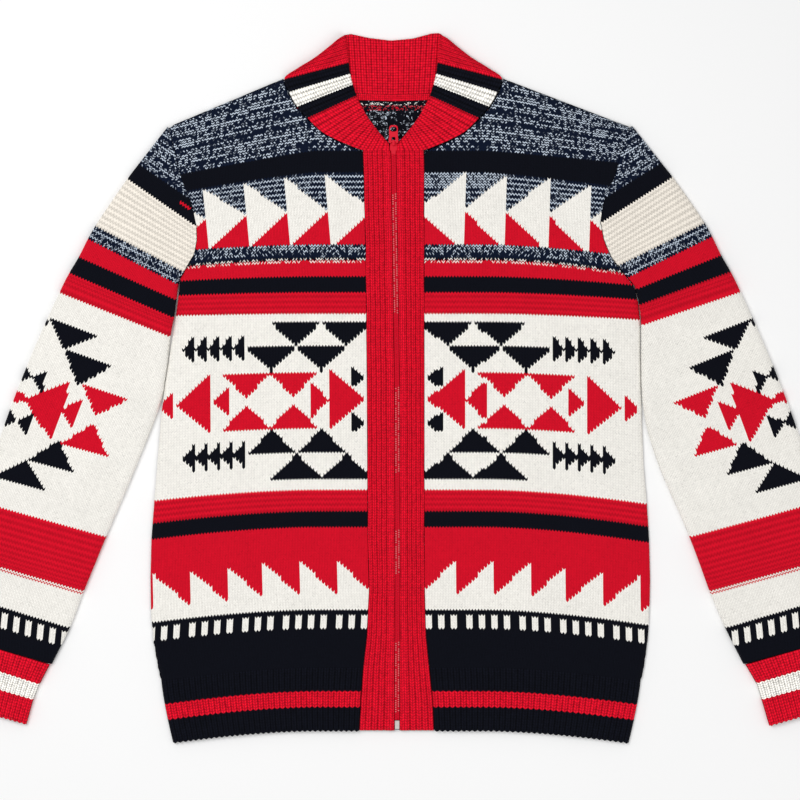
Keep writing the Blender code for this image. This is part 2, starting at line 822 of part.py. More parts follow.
def main():
    """Cardigan with all its pieces."""
    for made in list(bpy.data.objects):
        bpy.data.objects.remove(made, do_unlink=True)
    for name in ("cardigan", "cutters"):
        group = bpy.data.collections.get(name) or bpy.data.collections.new(name)
        if name not in bpy.context.scene.collection.children:
            bpy.context.scene.collection.children.link(group)
    make_back()
    make_hem("back")
    for left in (True, False):
        make_front(left)
        make_hem("left" if left else "right")
        make_sleeve(left)
        make_cuff(left)
        make_band(left)
        make_tape(left)
    make_collar()
    make_neck_tape()
    make_slider()
    make_pull()
    zip_foot = along(BAND, -357)[2]
    add_box("zip_box", (4.8, 9.0, 2.4), (zip_foot, -357.2, WALL + SEAM + 1.9), (0.75, 0.75, 0.72), 0.3, 0.5)
    for name in ("cardigan", "cutters"):
        for made in bpy.data.collections[name].objects:
            made.data.transform(Matrix.Translation((0, -MIDDLE_Y * MM, 0)))


main()
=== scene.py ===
"""Looks of the knitted zip cardigan: stitch-scale cloth, zip, materials, floor, light and camera."""

import json
import math
from functools import partial

import bmesh
import bpy
import numpy as np
from bpy.props import FloatProperty, FloatVectorProperty, PointerProperty
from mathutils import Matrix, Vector

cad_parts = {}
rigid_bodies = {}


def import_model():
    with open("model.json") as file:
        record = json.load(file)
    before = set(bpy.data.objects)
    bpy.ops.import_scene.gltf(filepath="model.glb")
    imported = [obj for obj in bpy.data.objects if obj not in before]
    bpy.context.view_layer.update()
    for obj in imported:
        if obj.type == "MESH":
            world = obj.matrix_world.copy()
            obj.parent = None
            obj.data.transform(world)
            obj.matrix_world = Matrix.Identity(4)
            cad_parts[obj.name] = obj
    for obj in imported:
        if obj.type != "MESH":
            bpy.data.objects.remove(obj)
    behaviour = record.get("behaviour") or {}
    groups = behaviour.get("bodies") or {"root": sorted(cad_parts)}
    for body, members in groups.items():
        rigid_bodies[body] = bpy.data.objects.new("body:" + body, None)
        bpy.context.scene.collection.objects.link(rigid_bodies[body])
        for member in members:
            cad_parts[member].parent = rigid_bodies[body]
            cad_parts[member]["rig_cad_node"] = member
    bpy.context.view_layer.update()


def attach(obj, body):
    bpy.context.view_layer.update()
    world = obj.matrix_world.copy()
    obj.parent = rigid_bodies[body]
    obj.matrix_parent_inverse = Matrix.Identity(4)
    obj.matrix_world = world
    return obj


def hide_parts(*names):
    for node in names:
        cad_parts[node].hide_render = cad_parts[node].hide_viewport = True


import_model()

bl_info = {
    "name": "Knitted cardigan",
    "version": (1, 0, 0),
    "blender": (4, 5, 0),
    "location": "View3D > Sidebar > Cardigan",
    "description": "Builds the cloth, zip and stage of a knitted zip cardigan",
    "category": "Object",
}

# All sizes in the tables are in mm; the frame is in metres.
MM = 0.001
TO_MM = 1000

# The tables count from the middle of the picture: its shift into the frame, the height the camera looks
# at, the body's middle line and the sum of two mirrored places on the collar.
MIDDLE_Y = 1.645
PICTURE_MIDDLE_Y = -11.1825
MIDDLE_X = -7.3
COLLAR_MIRROR = -14.6

# Heights in the picture of the seam over the hem's ribs, the neck point, the shoulder's end, the band's foot
# and the panel of figures, and the height of the hem's and cuffs' ribs.
RIB_SEAM_Y = -296.0
NECK_POINT_Y = 331.6
SHOULDER_END_Y = 280.1
BAND_FOOT = -363.4
PANEL_FOOT = -106
PANEL_TOP = 82
RIB_HEIGHT = 68

# Thickness of a layer, gap at a seam, soft rise of the fronts, height of the collar's inner layer, its wall.
WALL = 2.4
SEAM = 0.3
LOFT = 1.3
COLLAR_UNDER = 4.3
COLLAR_WALL = 2.8

# Height of the fronts' edge and of the back's face, and of a tube's fold as a share of the tube's height.
SIDE_LEVEL = 0.9
BACK_LEVEL = 2.3
FOLD_SHARE = 0.42

# Half the width of the zip between the bands, gap of the tape's threads in metres, points across a rib.
ZIP_HALF = 2.5
THREAD_GAP = 0.0004
RIB_STEPS = 8

# The chart's own step across and up, in mm.
CHART_ACROSS = 2.13
CHART_UP = 2.08

# Yarn numbers on the faces.
RED = 0
NAVY = 1
ECRU = 2
CREAM = 3
MARL = 4
RED_RIDGED = 5
MARL_STRIPED = 6
PALE_BLUE = 7
WHITE_DASHES = 8
RED_FLECKS = 9

# Body edges from hem to underarm: y of the section, left edge, right edge.
SIDE = [
    (-310, -254.5, 256.5),
    (-296, -257.7, 259.9),
    (-266, -263.1, 264.1),
    (-234, -265.7, 266.2),
    (-202, -266.2, 266.8),
    (-160, -265.2, 265.7),
    (-117, -262.0, 263.1),
    (-81, -259.0, 259.8),
    (-29, -254.9, 257.8),
    (5, -250.8, 256.8),
    (35, -246.0, 256.2),
    (75, -239.5, 256.0),
    (95, -237.0, 253.8),
]

# Armhole from the underarm up to the shoulder: left x, left y, right x, right y.
ARMHOLE = [
    (-234.3, 118.0, 249.2, 111.0),
    (-226.8, 131.0, 235.9, 126.7),
    (-218.9, 144.8, 224.7, 141.6),
    (-216.2, 159.8, 217.0, 160.0),
    (-216.7, 176.0, 213.2, 180.0),
    (-222.6, 201.3, 217.5, 204.0),
    (-232.2, 223.6, 228.5, 227.0),
    (-238.6, 249.2, 235.4, 253.5),
    (-247.1, 280.1, 244.9, 280.1),
]

# Zip line and outer edges of the two bands: y, left edge, zip line, right edge.
BAND = [
    (-364, -43.0, -3.0, 36.2),
    (-330, -41.5, -3.1, 34.2),
    (-296, -38.8, -3.0, 31.2),
    (-262, -35.3, -2.8, 27.4),
    (-215, -32.8, -2.7, 26.3),
    (-160, -34.2, -2.7, 25.8),
    (0, -35.0, -3.0, 25.8),
    (150, -36.5, -5.2, 25.7),
    (254, -39.4, -6.9, 25.6),
]

# Front neck seam from the zip band to the shoulder: left x, right x, y.
NECK = [
    (-39.4, 25.6, 253.6),
    (-54.3, 40.3, 259.3),
    (-70.7, 56.7, 266.7),
    (-85.4, 71.2, 275.2),
    (-99.3, 85.3, 288.9),
    (-110.8, 96.6, 301.6),
    (-119.6, 105.4, 316.6),
    (-124.4, 110.0, 331.6),
]

# Back neck seam: x, y.
BACK_NECK = [
    (-124.4, 331.6),
    (-106.5, 321.5),
    (-74.5, 316.2),
    (-7.3, 314.2),
    (59.5, 316.2),
    (91.5, 321.5),
    (110.0, 331.6),
]

# Drop of a knitted row at the side against its height at the zip band: y, left, right, power of its curve.
DROP = [
    (-380, 15.0, 15.0, 1.7),
    (-296, 14.5, 14.5, 1.7),
    (-250, 12.5, 15.0, 1.7),
    (-127, 12.0, 15.0, 1.7),
    (-106, 11.0, 14.0, 1.7),
    (60, 3.5, 7.0, 1.7),
    (82, 2.5, 6.5, 1.6),
    (105, 4.0, 8.0, 1.6),
    (123, 6.0, 10.0, 1.6),
    (139, 9.5, 17.0, 1.8),
    (156, 8.0, 14.0, 1.6),
    (190, 13.0, 15.0, 1.4),
    (232, 24.6, 18.5, 1.2),
    (254, 29.0, 14.5, 1.1),
    (300, 36.0, 28.0, 1.1),
    (345, 42.0, 42.0, 1.1),
]

# Bands of the front from hem to shoulder: y at the zip band where each starts, its yarn.
FRONT_BANDS = [
    (-296.0, NAVY),
    (-232.7, ECRU),
    (-148.6, RED),
    (-146.8, NAVY),
    (-128.4, RED_RIDGED),
    (-106.0, ECRU),
    (82.0, RED_RIDGED),
    (105.0, NAVY),
    (122.8, RED),
    (135.7, RED_FLECKS),
    (138.5, WHITE_DASHES),
    (141.4, MARL),
    (156.0, MARL_STRIPED),
    (233.4, NAVY),
    (253.6, MARL),
]

# Lines across the left sleeve from the shoulder down: outer x, y, inner x, y, height, yarn below the line.
SLEEVE_LINES = [
    (-247.6, 280.3, -247.4, 279.6, 6.4, MARL),
    (-278.0, 241.2, -219.4, 200.8, 6.8, NAVY),
    (-290.1, 225.3, -219.4, 176.3, 7.0, CREAM),
    (-306.0, 202.5, -221.0, 153.0, 7.6, CREAM),
    (-324.1, 175.2, -232.2, 127.3, 8.2, MARL),
    (-332.3, 161.3, -235.8, 112.4, 8.4, RED),
    (-341.9, 142.2, -238.0, 96.4, 8.6, NAVY),
    (-352.0, 125.1, -240.6, 77.2, 8.7, RED_RIDGED),
    (-362.6, 104.2, -244.5, 57.0, 8.8, ECRU),
    (-391.5, 40.0, -253.6, -8.0, 8.8, ECRU),
    (-420.7, -35.0, -278.0, -74.0, 8.8, ECRU),
    (-447.3, -118.2, -312.6, -155.8, 8.6, RED_RIDGED),
    (-461.6, -177.6, -336.5, -214.0, 8.4, ECRU),
    (-462.1, -179.2, -337.3, -215.6, 8.4, RED),
    (-462.6, -180.6, -338.0, -217.0, 8.4, ECRU),
    (-470.2, -216.0, -351.5, -252.7, 8.4, NAVY),
    (-475.0, -262.0, -371.0, -292.5, 8.0, NAVY),
]

# Inner ends of the right sleeve's lines: x, y.
SLEEVE_RIGHT_INNER = [
    (245.2, 279.6),
    (216.5, 204.0),
    (216.5, 180.0),
    (221.0, 152.0),
    (232.2, 133.0),
    (242.4, 120.0),
    (249.4, 107.0),
    (253.8, 90.7),
    (256.9, 69.0),
    (258.6, -14.0),
    (274.0, -76.0),
    (308.0, -156.0),
    (329.5, -214.0),
    (330.0, -215.6),
    (330.6, -217.0),
    (346.0, -252.7),
    (366.0, -292.5),
]

# Lines across the cuffs: outer x without its sign, outer y, inner x, y on the left, on the right, height.
CUFF = [
    (474.4, -262.5, -373.0, -293.0, 368.0, -293.0, 8.4),
    (472.5, -287.0, -385.0, -315.8, 380.5, -314.5, 8.6),
    (475.5, -308.5, -391.4, -332.8, 386.0, -333.0, 8.8),
    (480.5, -333.3, -398.0, -356.8, 393.5, -358.5, 8.8),
]

# Ribs of the collar's left front part: x and y at the seam or fold, x and y at the free edge, fold (1) or
# seam (0).
COLLAR_FRONT = [
    (-11.3, 253.9, -11.4, 262.0, 0),
    (-26.0, 254.3, -18.6, 270.0, 0),
    (-39.0, 254.6, -24.5, 277.2, 0),
    (-54.0, 259.9, -30.2, 284.6, 0),
    (-70.4, 267.2, -35.9, 293.0, 0),
    (-85.0, 275.6, -41.2, 302.8, 0),
    (-98.9, 289.2, -46.3, 313.2, 0),
    (-110.1, 302.0, -50.4, 325.5, 0),
    (-118.5, 317.0, -53.0, 336.5, 0),
    (-123.4, 331.9, -54.6, 349.5, 0.5),
    (-111.6, 341.2, -55.6, 358.0, 1),
    (-93.6, 352.2, -56.4, 366.0, 1),
    (-79.9, 362.4, -57.2, 372.5, 1),
    (-67.0, 373.0, -58.6, 377.6, 1),
]

# Free edge of the back collar: x, y.
COLLAR_TOP = [
    (-118.0, 335.6),
    (-93.7, 351.0),
    (-67.1, 372.0),
    (-58.5, 378.4),
    (-50.0, 379.6),
    (-31.9, 375.4),
    (-9.6, 372.6),
    (12.8, 374.8),
    (31.9, 380.2),
    (40.0, 380.6),
    (46.0, 377.0),
    (79.1, 351.0),
    (103.4, 335.6),
]

# Soft folds: x and y of each end, spread, height.
FOLDS = [
    (-205, 150, -120, 60, 20, 1.4),
    (-232, 90, -190, -60, 18, 1.2),
    (-150, -60, -200, -230, 26, 1.0),
    (-95, 230, -160, 290, 20, 0.9),
    (-80, 60, -110, -140, 30, 0.8),
    (208, 150, 110, 70, 20, 1.3),
    (244, 104, 196, 20, 16, 1.9),
    (232, 20, 205, -190, 20, 1.3),
    (96, 220, 165, 280, 20, 0.9),
    (70, 40, 120, -160, 30, 0.8),
    (150, -200, 190, -290, 22, 0.9),
    (-330, 150, -262, 60, 16, 1.8),
    (-300, 190, -240, 120, 14, 1.2),
    (-345, 60, -330, -110, 18, 1.6),
    (-430, -120, -350, -180, 16, 1.5),
    (-400, -170, -395, -240, 14, 1.2),
    (322, 160, 264, 62, 16, 2.0),
    (302, 200, 262, 110, 14, 1.4),
    (372, 40, 330, -90, 18, 1.5),
    (420, -90, 352, -190, 16, 1.6),
    (440, -200, 400, -250, 14, 1.3),
]

# Small waves of the knit: radians for each mm along x and y, phase.
WAVES = [(0.11, 0.05, 0.4), (-0.07, 0.12, 1.9), (0.16, -0.09, 3.1), (0.05, 0.21, 5.0)]

# Triangles of the front's panel, in steps of the chart: middles across, rows of the base and tip, yarn.
PANEL_TRIANGLES = [
    ((10.7, 35.6), 40.2, 27.2, NAVY),
    ((22.6, 48.1), 27.5, 14.6, NAVY),
    ((36.1, 60.0), 14.7, 1.9, RED),
]

# Triangles of the sleeve's panel: middle across, rows of the base and tip, slope, yarn.
SLEEVE_TRIANGLES = [
    (15.3, 40.9, 29.8, 1.15, NAVY),
    (28.1, 29.3, 15.6, 0.83, NAVY),
    (41.9, 15.9, 2.9, 0.87, RED),
]

# Section across a zip band, from its outer edge to the zip: share of the way, height of the rib.
BAND_PROFILE = [
    (0.0, -0.6), (0.02, 0.3), (0.045, 0.7), (0.07, 0.95), (0.10, 0.75), (0.13, 0.1), (0.155, -0.5),
    (0.18, 0.1), (0.21, 0.8), (0.24, 1.0), (0.275, 0.8), (0.305, 0.1), (0.33, -0.5), (0.355, 0.1),
    (0.385, 0.8), (0.42, 1.0), (0.455, 0.8), (0.485, 0.1), (0.51, -0.5), (0.535, 0.1), (0.565, 0.75),
    (0.60, 0.95), (0.635, 0.7), (0.665, -0.1), (0.69, -0.9), (0.715, -0.1), (0.75, 0.8), (0.80, 1.1),
    (0.85, 1.0), (0.90, 1.1), (0.94, 0.9), (0.97, 0.3), (0.99, -0.6), (1.0, -2.2),
]


def linear(code):
    """Linear colour of an sRGB hex value."""
    parts = [int(code[i:i + 2], 16) / 255 for i in (0, 2, 4)]
    return tuple(c / 12.92 if c <= 0.04045 else ((c + 0.055) / 1.055) ** 2.4 for c in parts)


def column(table, key):
    """One column of a table."""
    return np.array([row[key] for row in table], dtype=float)


def read(table, key, at):
    """A column of a table, read at places on its first column."""
    return np.interp(at, column(table, 0), column(table, key))


def smooth(value):
    """Soft step from 0 to 1."""
    value = np.clip(value, 0.0, 1.0)
    return value * value * (3 - 2 * value)


def round_off(distance, radius):
    """Quarter round: 0 at an edge and 1 from the radius inward."""
    near = 1 - np.clip(distance / radius, 0.0, 1.0)
    return np.sqrt(np.clip(1 - near * near, 0.0, 1.0))


def spline(a, b, c, d, t):
    """Smooth curve through four places, at a share of the way from the second to the third."""
    square = (2 * a - 5 * b + 4 * c - d) * t * t
    return 0.5 * (2 * b + (c - a) * t + square + (3 * b - 3 * c + d - a) * t ** 3)


def fold_height(x, y):
    """Height that the soft folds and the knit's small waves add to the upper cloth."""
    total = np.zeros_like(x)
    for x0, y0, x1, y1, spread, height in FOLDS:
        dx, dy = x1 - x0, y1 - y0
        part = np.clip(((x - x0) * dx + (y - y0) * dy) / (dx * dx + dy * dy), 0, 1)
        gap = ((x - x0 - dx * part) ** 2 + (y - y0 - dy * part) ** 2) / spread ** 2
        total += height * np.exp(-gap) * np.sin(np.pi * (0.15 + 0.7 * part))
    for k, (a, b, phase) in enumerate(WAVES):
        total += 0.16 * np.sin(a * x + b * y + phase + 1.3 * np.sin(0.031 * x - 0.023 * y + k))
    return total


def drop(x, y):
    """How far a knitted row hangs below its height at the zip band."""
    left, right, power = (read(DROP, key, y) for key in (1, 2, 3))
    amount = left + (right - left) * smooth(0.5 + x / 120)
    return amount * np.clip((np.abs(x) - 90) / 165, 0, 1.05) ** power


def hang(x, level):
    """Height of a knitted row over a place, from its height at the zip band."""
    return level - drop(x, level + 0 * x)


def hem_y(x):
    """Height of the hem's lower edge."""
    return -363.6 - drop(x, -364.0 + 0 * x)


def edge_x(y, left):
    """X of the body's edge: side seam, armhole and shoulder."""
    side, hole, neck = (1, 0, 0) if left else (2, 2, 1)
    ys = [*column(SIDE, 0), *column(ARMHOLE, hole + 1), NECK_POINT_Y]
    xs = [*column(SIDE, side), *column(ARMHOLE, hole), NECK[-1][neck]]
    return np.interp(y, ys, xs)


def inner_x(y, left):
    """X of the front's inner edge: zip band, then neck seam."""
    ys = [*column(BAND, 0), *column(NECK, 2)[1:]]
    xs = [*column(BAND, 1 if left else 3), *column(NECK, 0 if left else 1)[1:]]
    return np.interp(y, ys, xs)


def shoulder_y(x, left):
    """Height of the shoulder line over a place."""
    outer = (ARMHOLE[-1][0 if left else 2], SHOULDER_END_Y)
    inner = (NECK[-1][0 if left else 1], NECK_POINT_Y)
    return read(sorted([outer, inner]), 1, x)


def zigzag(u):
    """Depth of the V of a stitch, from 0 at its sides to 1 in its middle."""
    return 1 - np.abs(2 * (u - np.floor(u)) - 1)


def rib_profile(phase):
    """Height of a rib across its pitch: round ridges with soft valleys."""
    part = np.abs((phase % 1) - 0.5) * 2
    return np.clip(1 - part ** 3.2, 0, 1) ** 0.8


def has_width(x):
    """Faces of a grid that are wider than nothing at one end or at both."""
    wide = np.abs(np.diff(x, axis=1)) > 0.01
    return wide[:-1] | wide[1:]


def under_height(near, height):
    """Height of a tube's lower layer, which turns up to the fold at its edges."""
    fold = FOLD_SHARE * height
    return np.where(near <= 0.0, fold, fold * (1 - round_off(near, 6.0)) + 0.05)


def patch(x, y, z, u, v, yarn, keep=None, relief=1.0, facing=1):
    """Grid of stitches that faces up (1) or down (-1).

    Gives its points, faces, stitch coordinates, yarn numbers and rib heights.
    """
    x, y, z, u, v, relief = np.broadcast_arrays(x, y, z, u, v, relief)
    rows, cols = x.shape
    points = np.stack([x, y - MIDDLE_Y, z], axis=-1).reshape(-1, 3) * MM
    index = np.arange(rows * cols).reshape(rows, cols)
    corners = [index[:-1, :-1], index[:-1, 1:], index[1:, 1:], index[1:, :-1]]
    quads = np.stack(corners, axis=-1).reshape(-1, 4)
    a, b, c = (points[quads[:, k], :2] for k in (0, 1, 3))
    area = np.sum((b[:, 0] - a[:, 0]) * (c[:, 1] - a[:, 1]) - (b[:, 1] - a[:, 1]) * (c[:, 0] - a[:, 0]))
    if area * facing < 0:
        quads = quads[:, ::-1]
    yarns = np.broadcast_to(yarn, (rows - 1, cols - 1)).reshape(-1)
    if keep is not None:
        chosen = keep.reshape(-1)
        quads = quads[chosen]
        yarns = yarns[chosen]
    coords = np.stack([u, v], axis=-1).reshape(-1, 2)
    return points, quads, coords, yarns, relief.reshape(-1)


def add_object(name, work, materials, mesh=None):
    """Object in the scene from an edited mesh, with its materials."""
    mesh = mesh or bpy.data.meshes.new(name)
    work.to_mesh(mesh)
    work.free()
    for made in materials:
        mesh.materials.append(made)
    piece = bpy.data.objects.new(name, mesh)
    bpy.context.scene.collection.objects.link(piece)
    return piece


def make_piece(name, patches, materials, node):
    """Cloth from patches, that stands for a CAD node of the garment."""
    points = np.concatenate([p[0] for p in patches])
    shifts = np.cumsum([0] + [len(p[0]) for p in patches[:-1]])
    quads = np.concatenate([p[1] + s for p, s in zip(patches, shifts)])
    coords, yarns, relief = (np.concatenate([p[k] for p in patches]) for k in (2, 3, 4))
    mesh = bpy.data.meshes.new(name)
    mesh.vertices.add(len(points))
    mesh.vertices.foreach_set("co", points.reshape(-1))
    mesh.loops.add(len(quads) * 4)
    mesh.loops.foreach_set("vertex_index", quads.reshape(-1))
    mesh.polygons.add(len(quads))
    mesh.polygons.foreach_set("loop_start", np.arange(0, len(quads) * 4, 4))
    mesh.update(calc_edges=True)
    layer = mesh.uv_layers.new(name="stitch")
    layer.data.foreach_set("uv", coords[quads.reshape(-1)].reshape(-1))
    for label, domain, values in (("yarn", "FACE", yarns), ("relief", "POINT", relief)):
        mesh.attributes.new(label, "FLOAT", domain).data.foreach_set("value", values.astype(float))
    work = bmesh.new()
    work.from_mesh(mesh)
    bmesh.ops.remove_doubles(work, verts=work.verts, dist=0.00002)
    for face in work.faces:
        face.smooth = True
    piece = add_object(name, work, materials, mesh)
    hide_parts(node)
    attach(piece, "garment")
    return piece


def thicken(piece, slots=0):
    """Wall under a thin piece; its inside and rim take the material that many slots further on."""
    wall = piece.modifiers.new("wall", "SOLIDIFY")
    wall.thickness = 0.0022
    wall.offset = -1
    wall.material_offset = slots
    wall.material_offset_rim = slots
    return piece


def knit_rows(sizes):
    """Width and height of a stitch, and the height of each row at the zip band, in mm."""
    height = sizes.course * TO_MM
    rows = int((NECK_POINT_Y + 16 - RIB_SEAM_Y) / height)
    return sizes.wale * TO_MM, height, RIB_SEAM_Y + np.arange(rows + 1) * height


def front_yarn(out, y, pitch, wale):
    """Yarn of a stitch of the front from its middle's distance from the zip band and its height."""

    def row_of(at):
        return (at - RIB_SEAM_Y) / CHART_UP

    def snap(spot):
        return (math.floor(spot * CHART_ACROSS / wale) + 0.5) * wale / CHART_ACROSS

    i = out / CHART_ACROSS - 0.5
    j = row_of(y) - 0.5
    kinds = np.array([row[1] for row in FRONT_BANDS])
    place = np.searchsorted(column(FRONT_BANDS, 0), y, side="right") - 1
    yarn = kinds[np.clip(place, 0, len(kinds) - 1)]

    # Dashes: short ecru bars, three stitches on and three or four off.
    dash = (y > -254.6) & (y < -240.0) & ((i + 0.85) % 6.7 < 3)
    yarn = np.where(dash, ECRU, yarn)

    # Lower teeth: red hangs down in steps over the ecru.
    top = np.floor(row_of(-219.5)) + (i + 3.9) % 18.6
    yarn = np.where((yarn == ECRU) & (y < -140) & (j > top), RED, yarn)

    # Upper teeth: white triangles that point to the zip, between mixed yarn above and red below.
    middle = row_of(191.5)
    zone = (y >= 156.0) & (y < 233.4)
    yarn = np.where(zone & (j < middle), RED, yarn)
    reach = np.where(i < pitch - 1.3, 3.8 + i * (pitch - 3.8) / (pitch - 1.3), (i + 1.3) % pitch)
    yarn = np.where(zone & (np.abs(j + 0.5 - middle) < reach * 0.93 + 0.4), ECRU, yarn)

    # Panel: triangles on both sides of a middle row.
    r = np.abs(j + 0.5 - row_of(-10.1))
    panel = (y > PANEL_FOOT) & (y < PANEL_TOP)
    for spots, base, tip, kind in PANEL_TRIANGLES:
        for spot in spots:
            inside = (r < base) & (np.abs(i + 0.5 - snap(spot)) < r - tip)
            yarn = np.where(panel & inside, kind, yarn)
    stitch = np.floor(out / wale)
    head = (stitch >= 39) & (stitch < 59) & (np.abs(r - 26.9) < 6.6 - 1.9 * ((stitch - 39) % 4))
    yarn = np.where(panel & head, NAVY, yarn)
    large_out = (i >= 77) & (i < 95) & (r < (94.5 - i) * 0.87)
    small_out = (i >= 68) & (i < 77) & (r < (76.8 - i) * 0.9)
    large_in = (i >= 1) & (i < 19) & (r < i * 0.86)
    small_in = (i >= 19) & (i < 27) & (r < i - 18.2)
    next_one = (i >= 96) & (i < 104) & (r < 103.6 - i)
    yarn = np.where(panel & (large_out | small_out | large_in | small_in | next_one), RED, yarn)
    near = (i >= 1) & (i < 8) & (np.abs(r - 11.6) < (i - 0.5) * 0.82)
    return np.where(panel & near & ~large_in, NAVY, yarn)


def body_height(x, y, left):
    """Height of the front's outer face."""
    under = ARMHOLE[0][1 if left else 3]
    to_edge = np.abs(edge_x(y, left) - x)
    near = np.minimum(to_edge + np.clip(y - under + 12, 0, None) * 1.5, (shoulder_y(x, left) - y) * 0.92)
    full = 2 * WALL + SEAM + LOFT * smooth(near / 32) + fold_height(x, y) * smooth(near / 26)
    height = SIDE_LEVEL + (full - SIDE_LEVEL) * round_off(near, 7.0)
    to_hole = to_edge + np.clip(under - y, 0, None)
    return height - 1.1 * np.exp(-(to_hole / 3.0) ** 2) * smooth(near / 12)


def make_front(left, sizes, knit):
    """Front panel, one face for each quarter of a stitch's width."""
    sign, side = (-1, "left") if left else (1, "right")
    w, h, base = knit_rows(sizes)
    lean = np.interp(base, [82, 140, 230, 340], [0, -3.9 if left else -1.6, 1.4, 1.4])[:, None]
    start = read(BAND, 1 if left else 3, base) + sign * SEAM
    end = np.full_like(base, sign * 250.0)
    begin = start.copy()
    for _ in range(40):
        end = 0.5 * end + 0.5 * edge_x(hang(end, base), left)
        begin = 0.5 * begin + 0.5 * (inner_x(hang(begin, base), left) + sign * SEAM)
    steps = np.arange(-2, 78, 0.25)[None, :]
    x = start[:, None] + sign * (steps * w + lean)
    x = np.clip(x, np.minimum(begin, end)[:, None], np.maximum(begin, end)[:, None])
    closed = (end - begin) * sign < 0.2
    x[closed] = (0.5 * (begin + end))[closed, None]
    slant = np.interp(base, [-295.9, -295.0, 252.0, 257.0], [0, 0.75, 0.75, 0.42])[:, None] * h
    y = np.minimum(hang(x, base[:, None]) - slant * zigzag(steps), shoulder_y(x, left))
    z = body_height(x, y, left) + 0.3 * np.abs(np.sin(2 * np.pi * steps))
    z = z - 0.7 * np.exp(-(np.abs(x - begin[:, None]) / 2.6) ** 2)
    out, up = np.meshgrid((np.floor(steps[0, :-1]) + 0.5) * w, base[:-1] + h / 2)
    if left:
        yarn = front_yarn(np.clip(out, 0.5 * w, None), up, sizes.teeth_left, w)
    else:
        # The right panel's figures are one or two stitches wider.
        wider = ((out > 12).astype(float) + (out > 62)) * ((up > PANEL_FOOT) & (up < PANEL_TOP))
        yarn = front_yarn(np.clip(out - wider * w, 0.5 * w, None), up, sizes.teeth_right, w)
        yarn = np.where((yarn == MARL_STRIPED) & (up > 214) & (out < 86), PALE_BLUE, yarn)
    faces = patch(x, y, z, steps, (base[:, None] - RIB_SEAM_Y) / h, yarn, has_width(x))
    return make_piece("knit_front_" + side, [faces], [knit], "front_" + side)


def make_back(sizes, knit, inside):
    """Back panel: the mixed yarn's reverse above, the pattern below."""
    w, h, base = knit_rows(sizes)
    steps = np.arange(-82, 83)
    x = MIDDLE_X + steps[None, :] * w + 0 * base[:, None]
    for _ in range(20):
        y = hang(x, base[:, None])
        x = np.clip(x, edge_x(y, True) + 3.2, edge_x(y, False) - 3.2)
    top = read(BACK_NECK, 1, x)
    top = np.where(x < BACK_NECK[0][0], shoulder_y(x, True) - 3, top)
    top = np.where(x > BACK_NECK[-1][0], shoulder_y(x, False) - 3, top)
    y = np.minimum(y, top)
    out, up = np.meshgrid(np.abs(steps[:-1] + 0.5) * w - 32, base[:-1] + h / 2)
    yarn = front_yarn(np.clip(out, 0.5 * w, None), up, sizes.teeth_left, w)
    wide = np.abs(np.diff(x, axis=1))
    tall = np.abs(np.diff(y, axis=0))
    keep = (wide[:-1] + wide[1:] > 0.02) & (tall[:, 1:] + tall[:, :-1] > 0.02)
    faces = patch(x, y, BACK_LEVEL, (x - MIDDLE_X) / w, (y - RIB_SEAM_Y) / h, yarn, keep)
    return thicken(make_piece("knit_back", [faces], [inside, knit], "back"), 1)


def sleeve_yarn(i, j, bands, middle, sizes):
    """Yarn of a stitch of the sleeve: i counted from the outer fold, j down from the shoulder."""
    yarn = np.broadcast_to(bands[:, None], i.shape).copy()
    down = (j + 0.5 - middle) * sizes.course * TO_MM / CHART_UP
    r = np.abs(down)
    at = (i + 0.5) * sizes.wale * TO_MM / CHART_ACROSS - 0.03 * down
    panel = (yarn == ECRU) & (r < 60)
    for spot, base, tip, slope, kind in SLEEVE_TRIANGLES:
        yarn = np.where(panel & (r < base) & (np.abs(at - spot) < (r - tip) * slope + 0.8), kind, yarn)
    yarn = np.where(panel & (r < 40) & (i < 1) & (r > 37), NAVY, yarn)
    large = (at >= 6) & (at < 24.5) & (r < (at - 5.5) * 0.86)
    small = (at >= 24.5) & (at < 32.5) & (r < at - 24.2)
    stem = (at < 7) & (r < 1.4 + 0.25 * (6 - at))
    yarn = np.where(panel & (large | small | stem), RED, yarn)
    bow = (np.abs(r - 11.2) < np.abs(at - 4.8) * 0.78 + 0.3) & (at < 12)
    return np.where(panel & bow & ~large, NAVY, yarn)


def sleeve_rows(left, sizes):
    """Lines across the sleeve, one for each knitted row, with their heights and yarns."""
    table = [np.array(line, dtype=float) for line in SLEEVE_LINES]
    if not left:
        for k, line in enumerate(table):
            line[0] = -line[0]
            line[1] += 3.0 * max(0.0, 1 - abs(k - 4) / 5)
            line[2:4] = SLEEVE_RIGHT_INNER[k]
    result = []
    for k in range(len(table) - 1):
        four = [table[min(max(k + n, 0), len(table) - 1)] for n in (-1, 0, 1, 2)]
        start, end = four[1], four[2]
        gap = 0.5 * (math.dist(start[:2], end[:2]) + math.dist(start[2:4], end[2:4]))
        steps = max(1, round(gap / (sizes.course * TO_MM)))
        for n in range(steps):
            row = spline(*four, n / steps)
            row[5] = start[5]
            result.append(row)
    return np.array(result + [table[-1]])


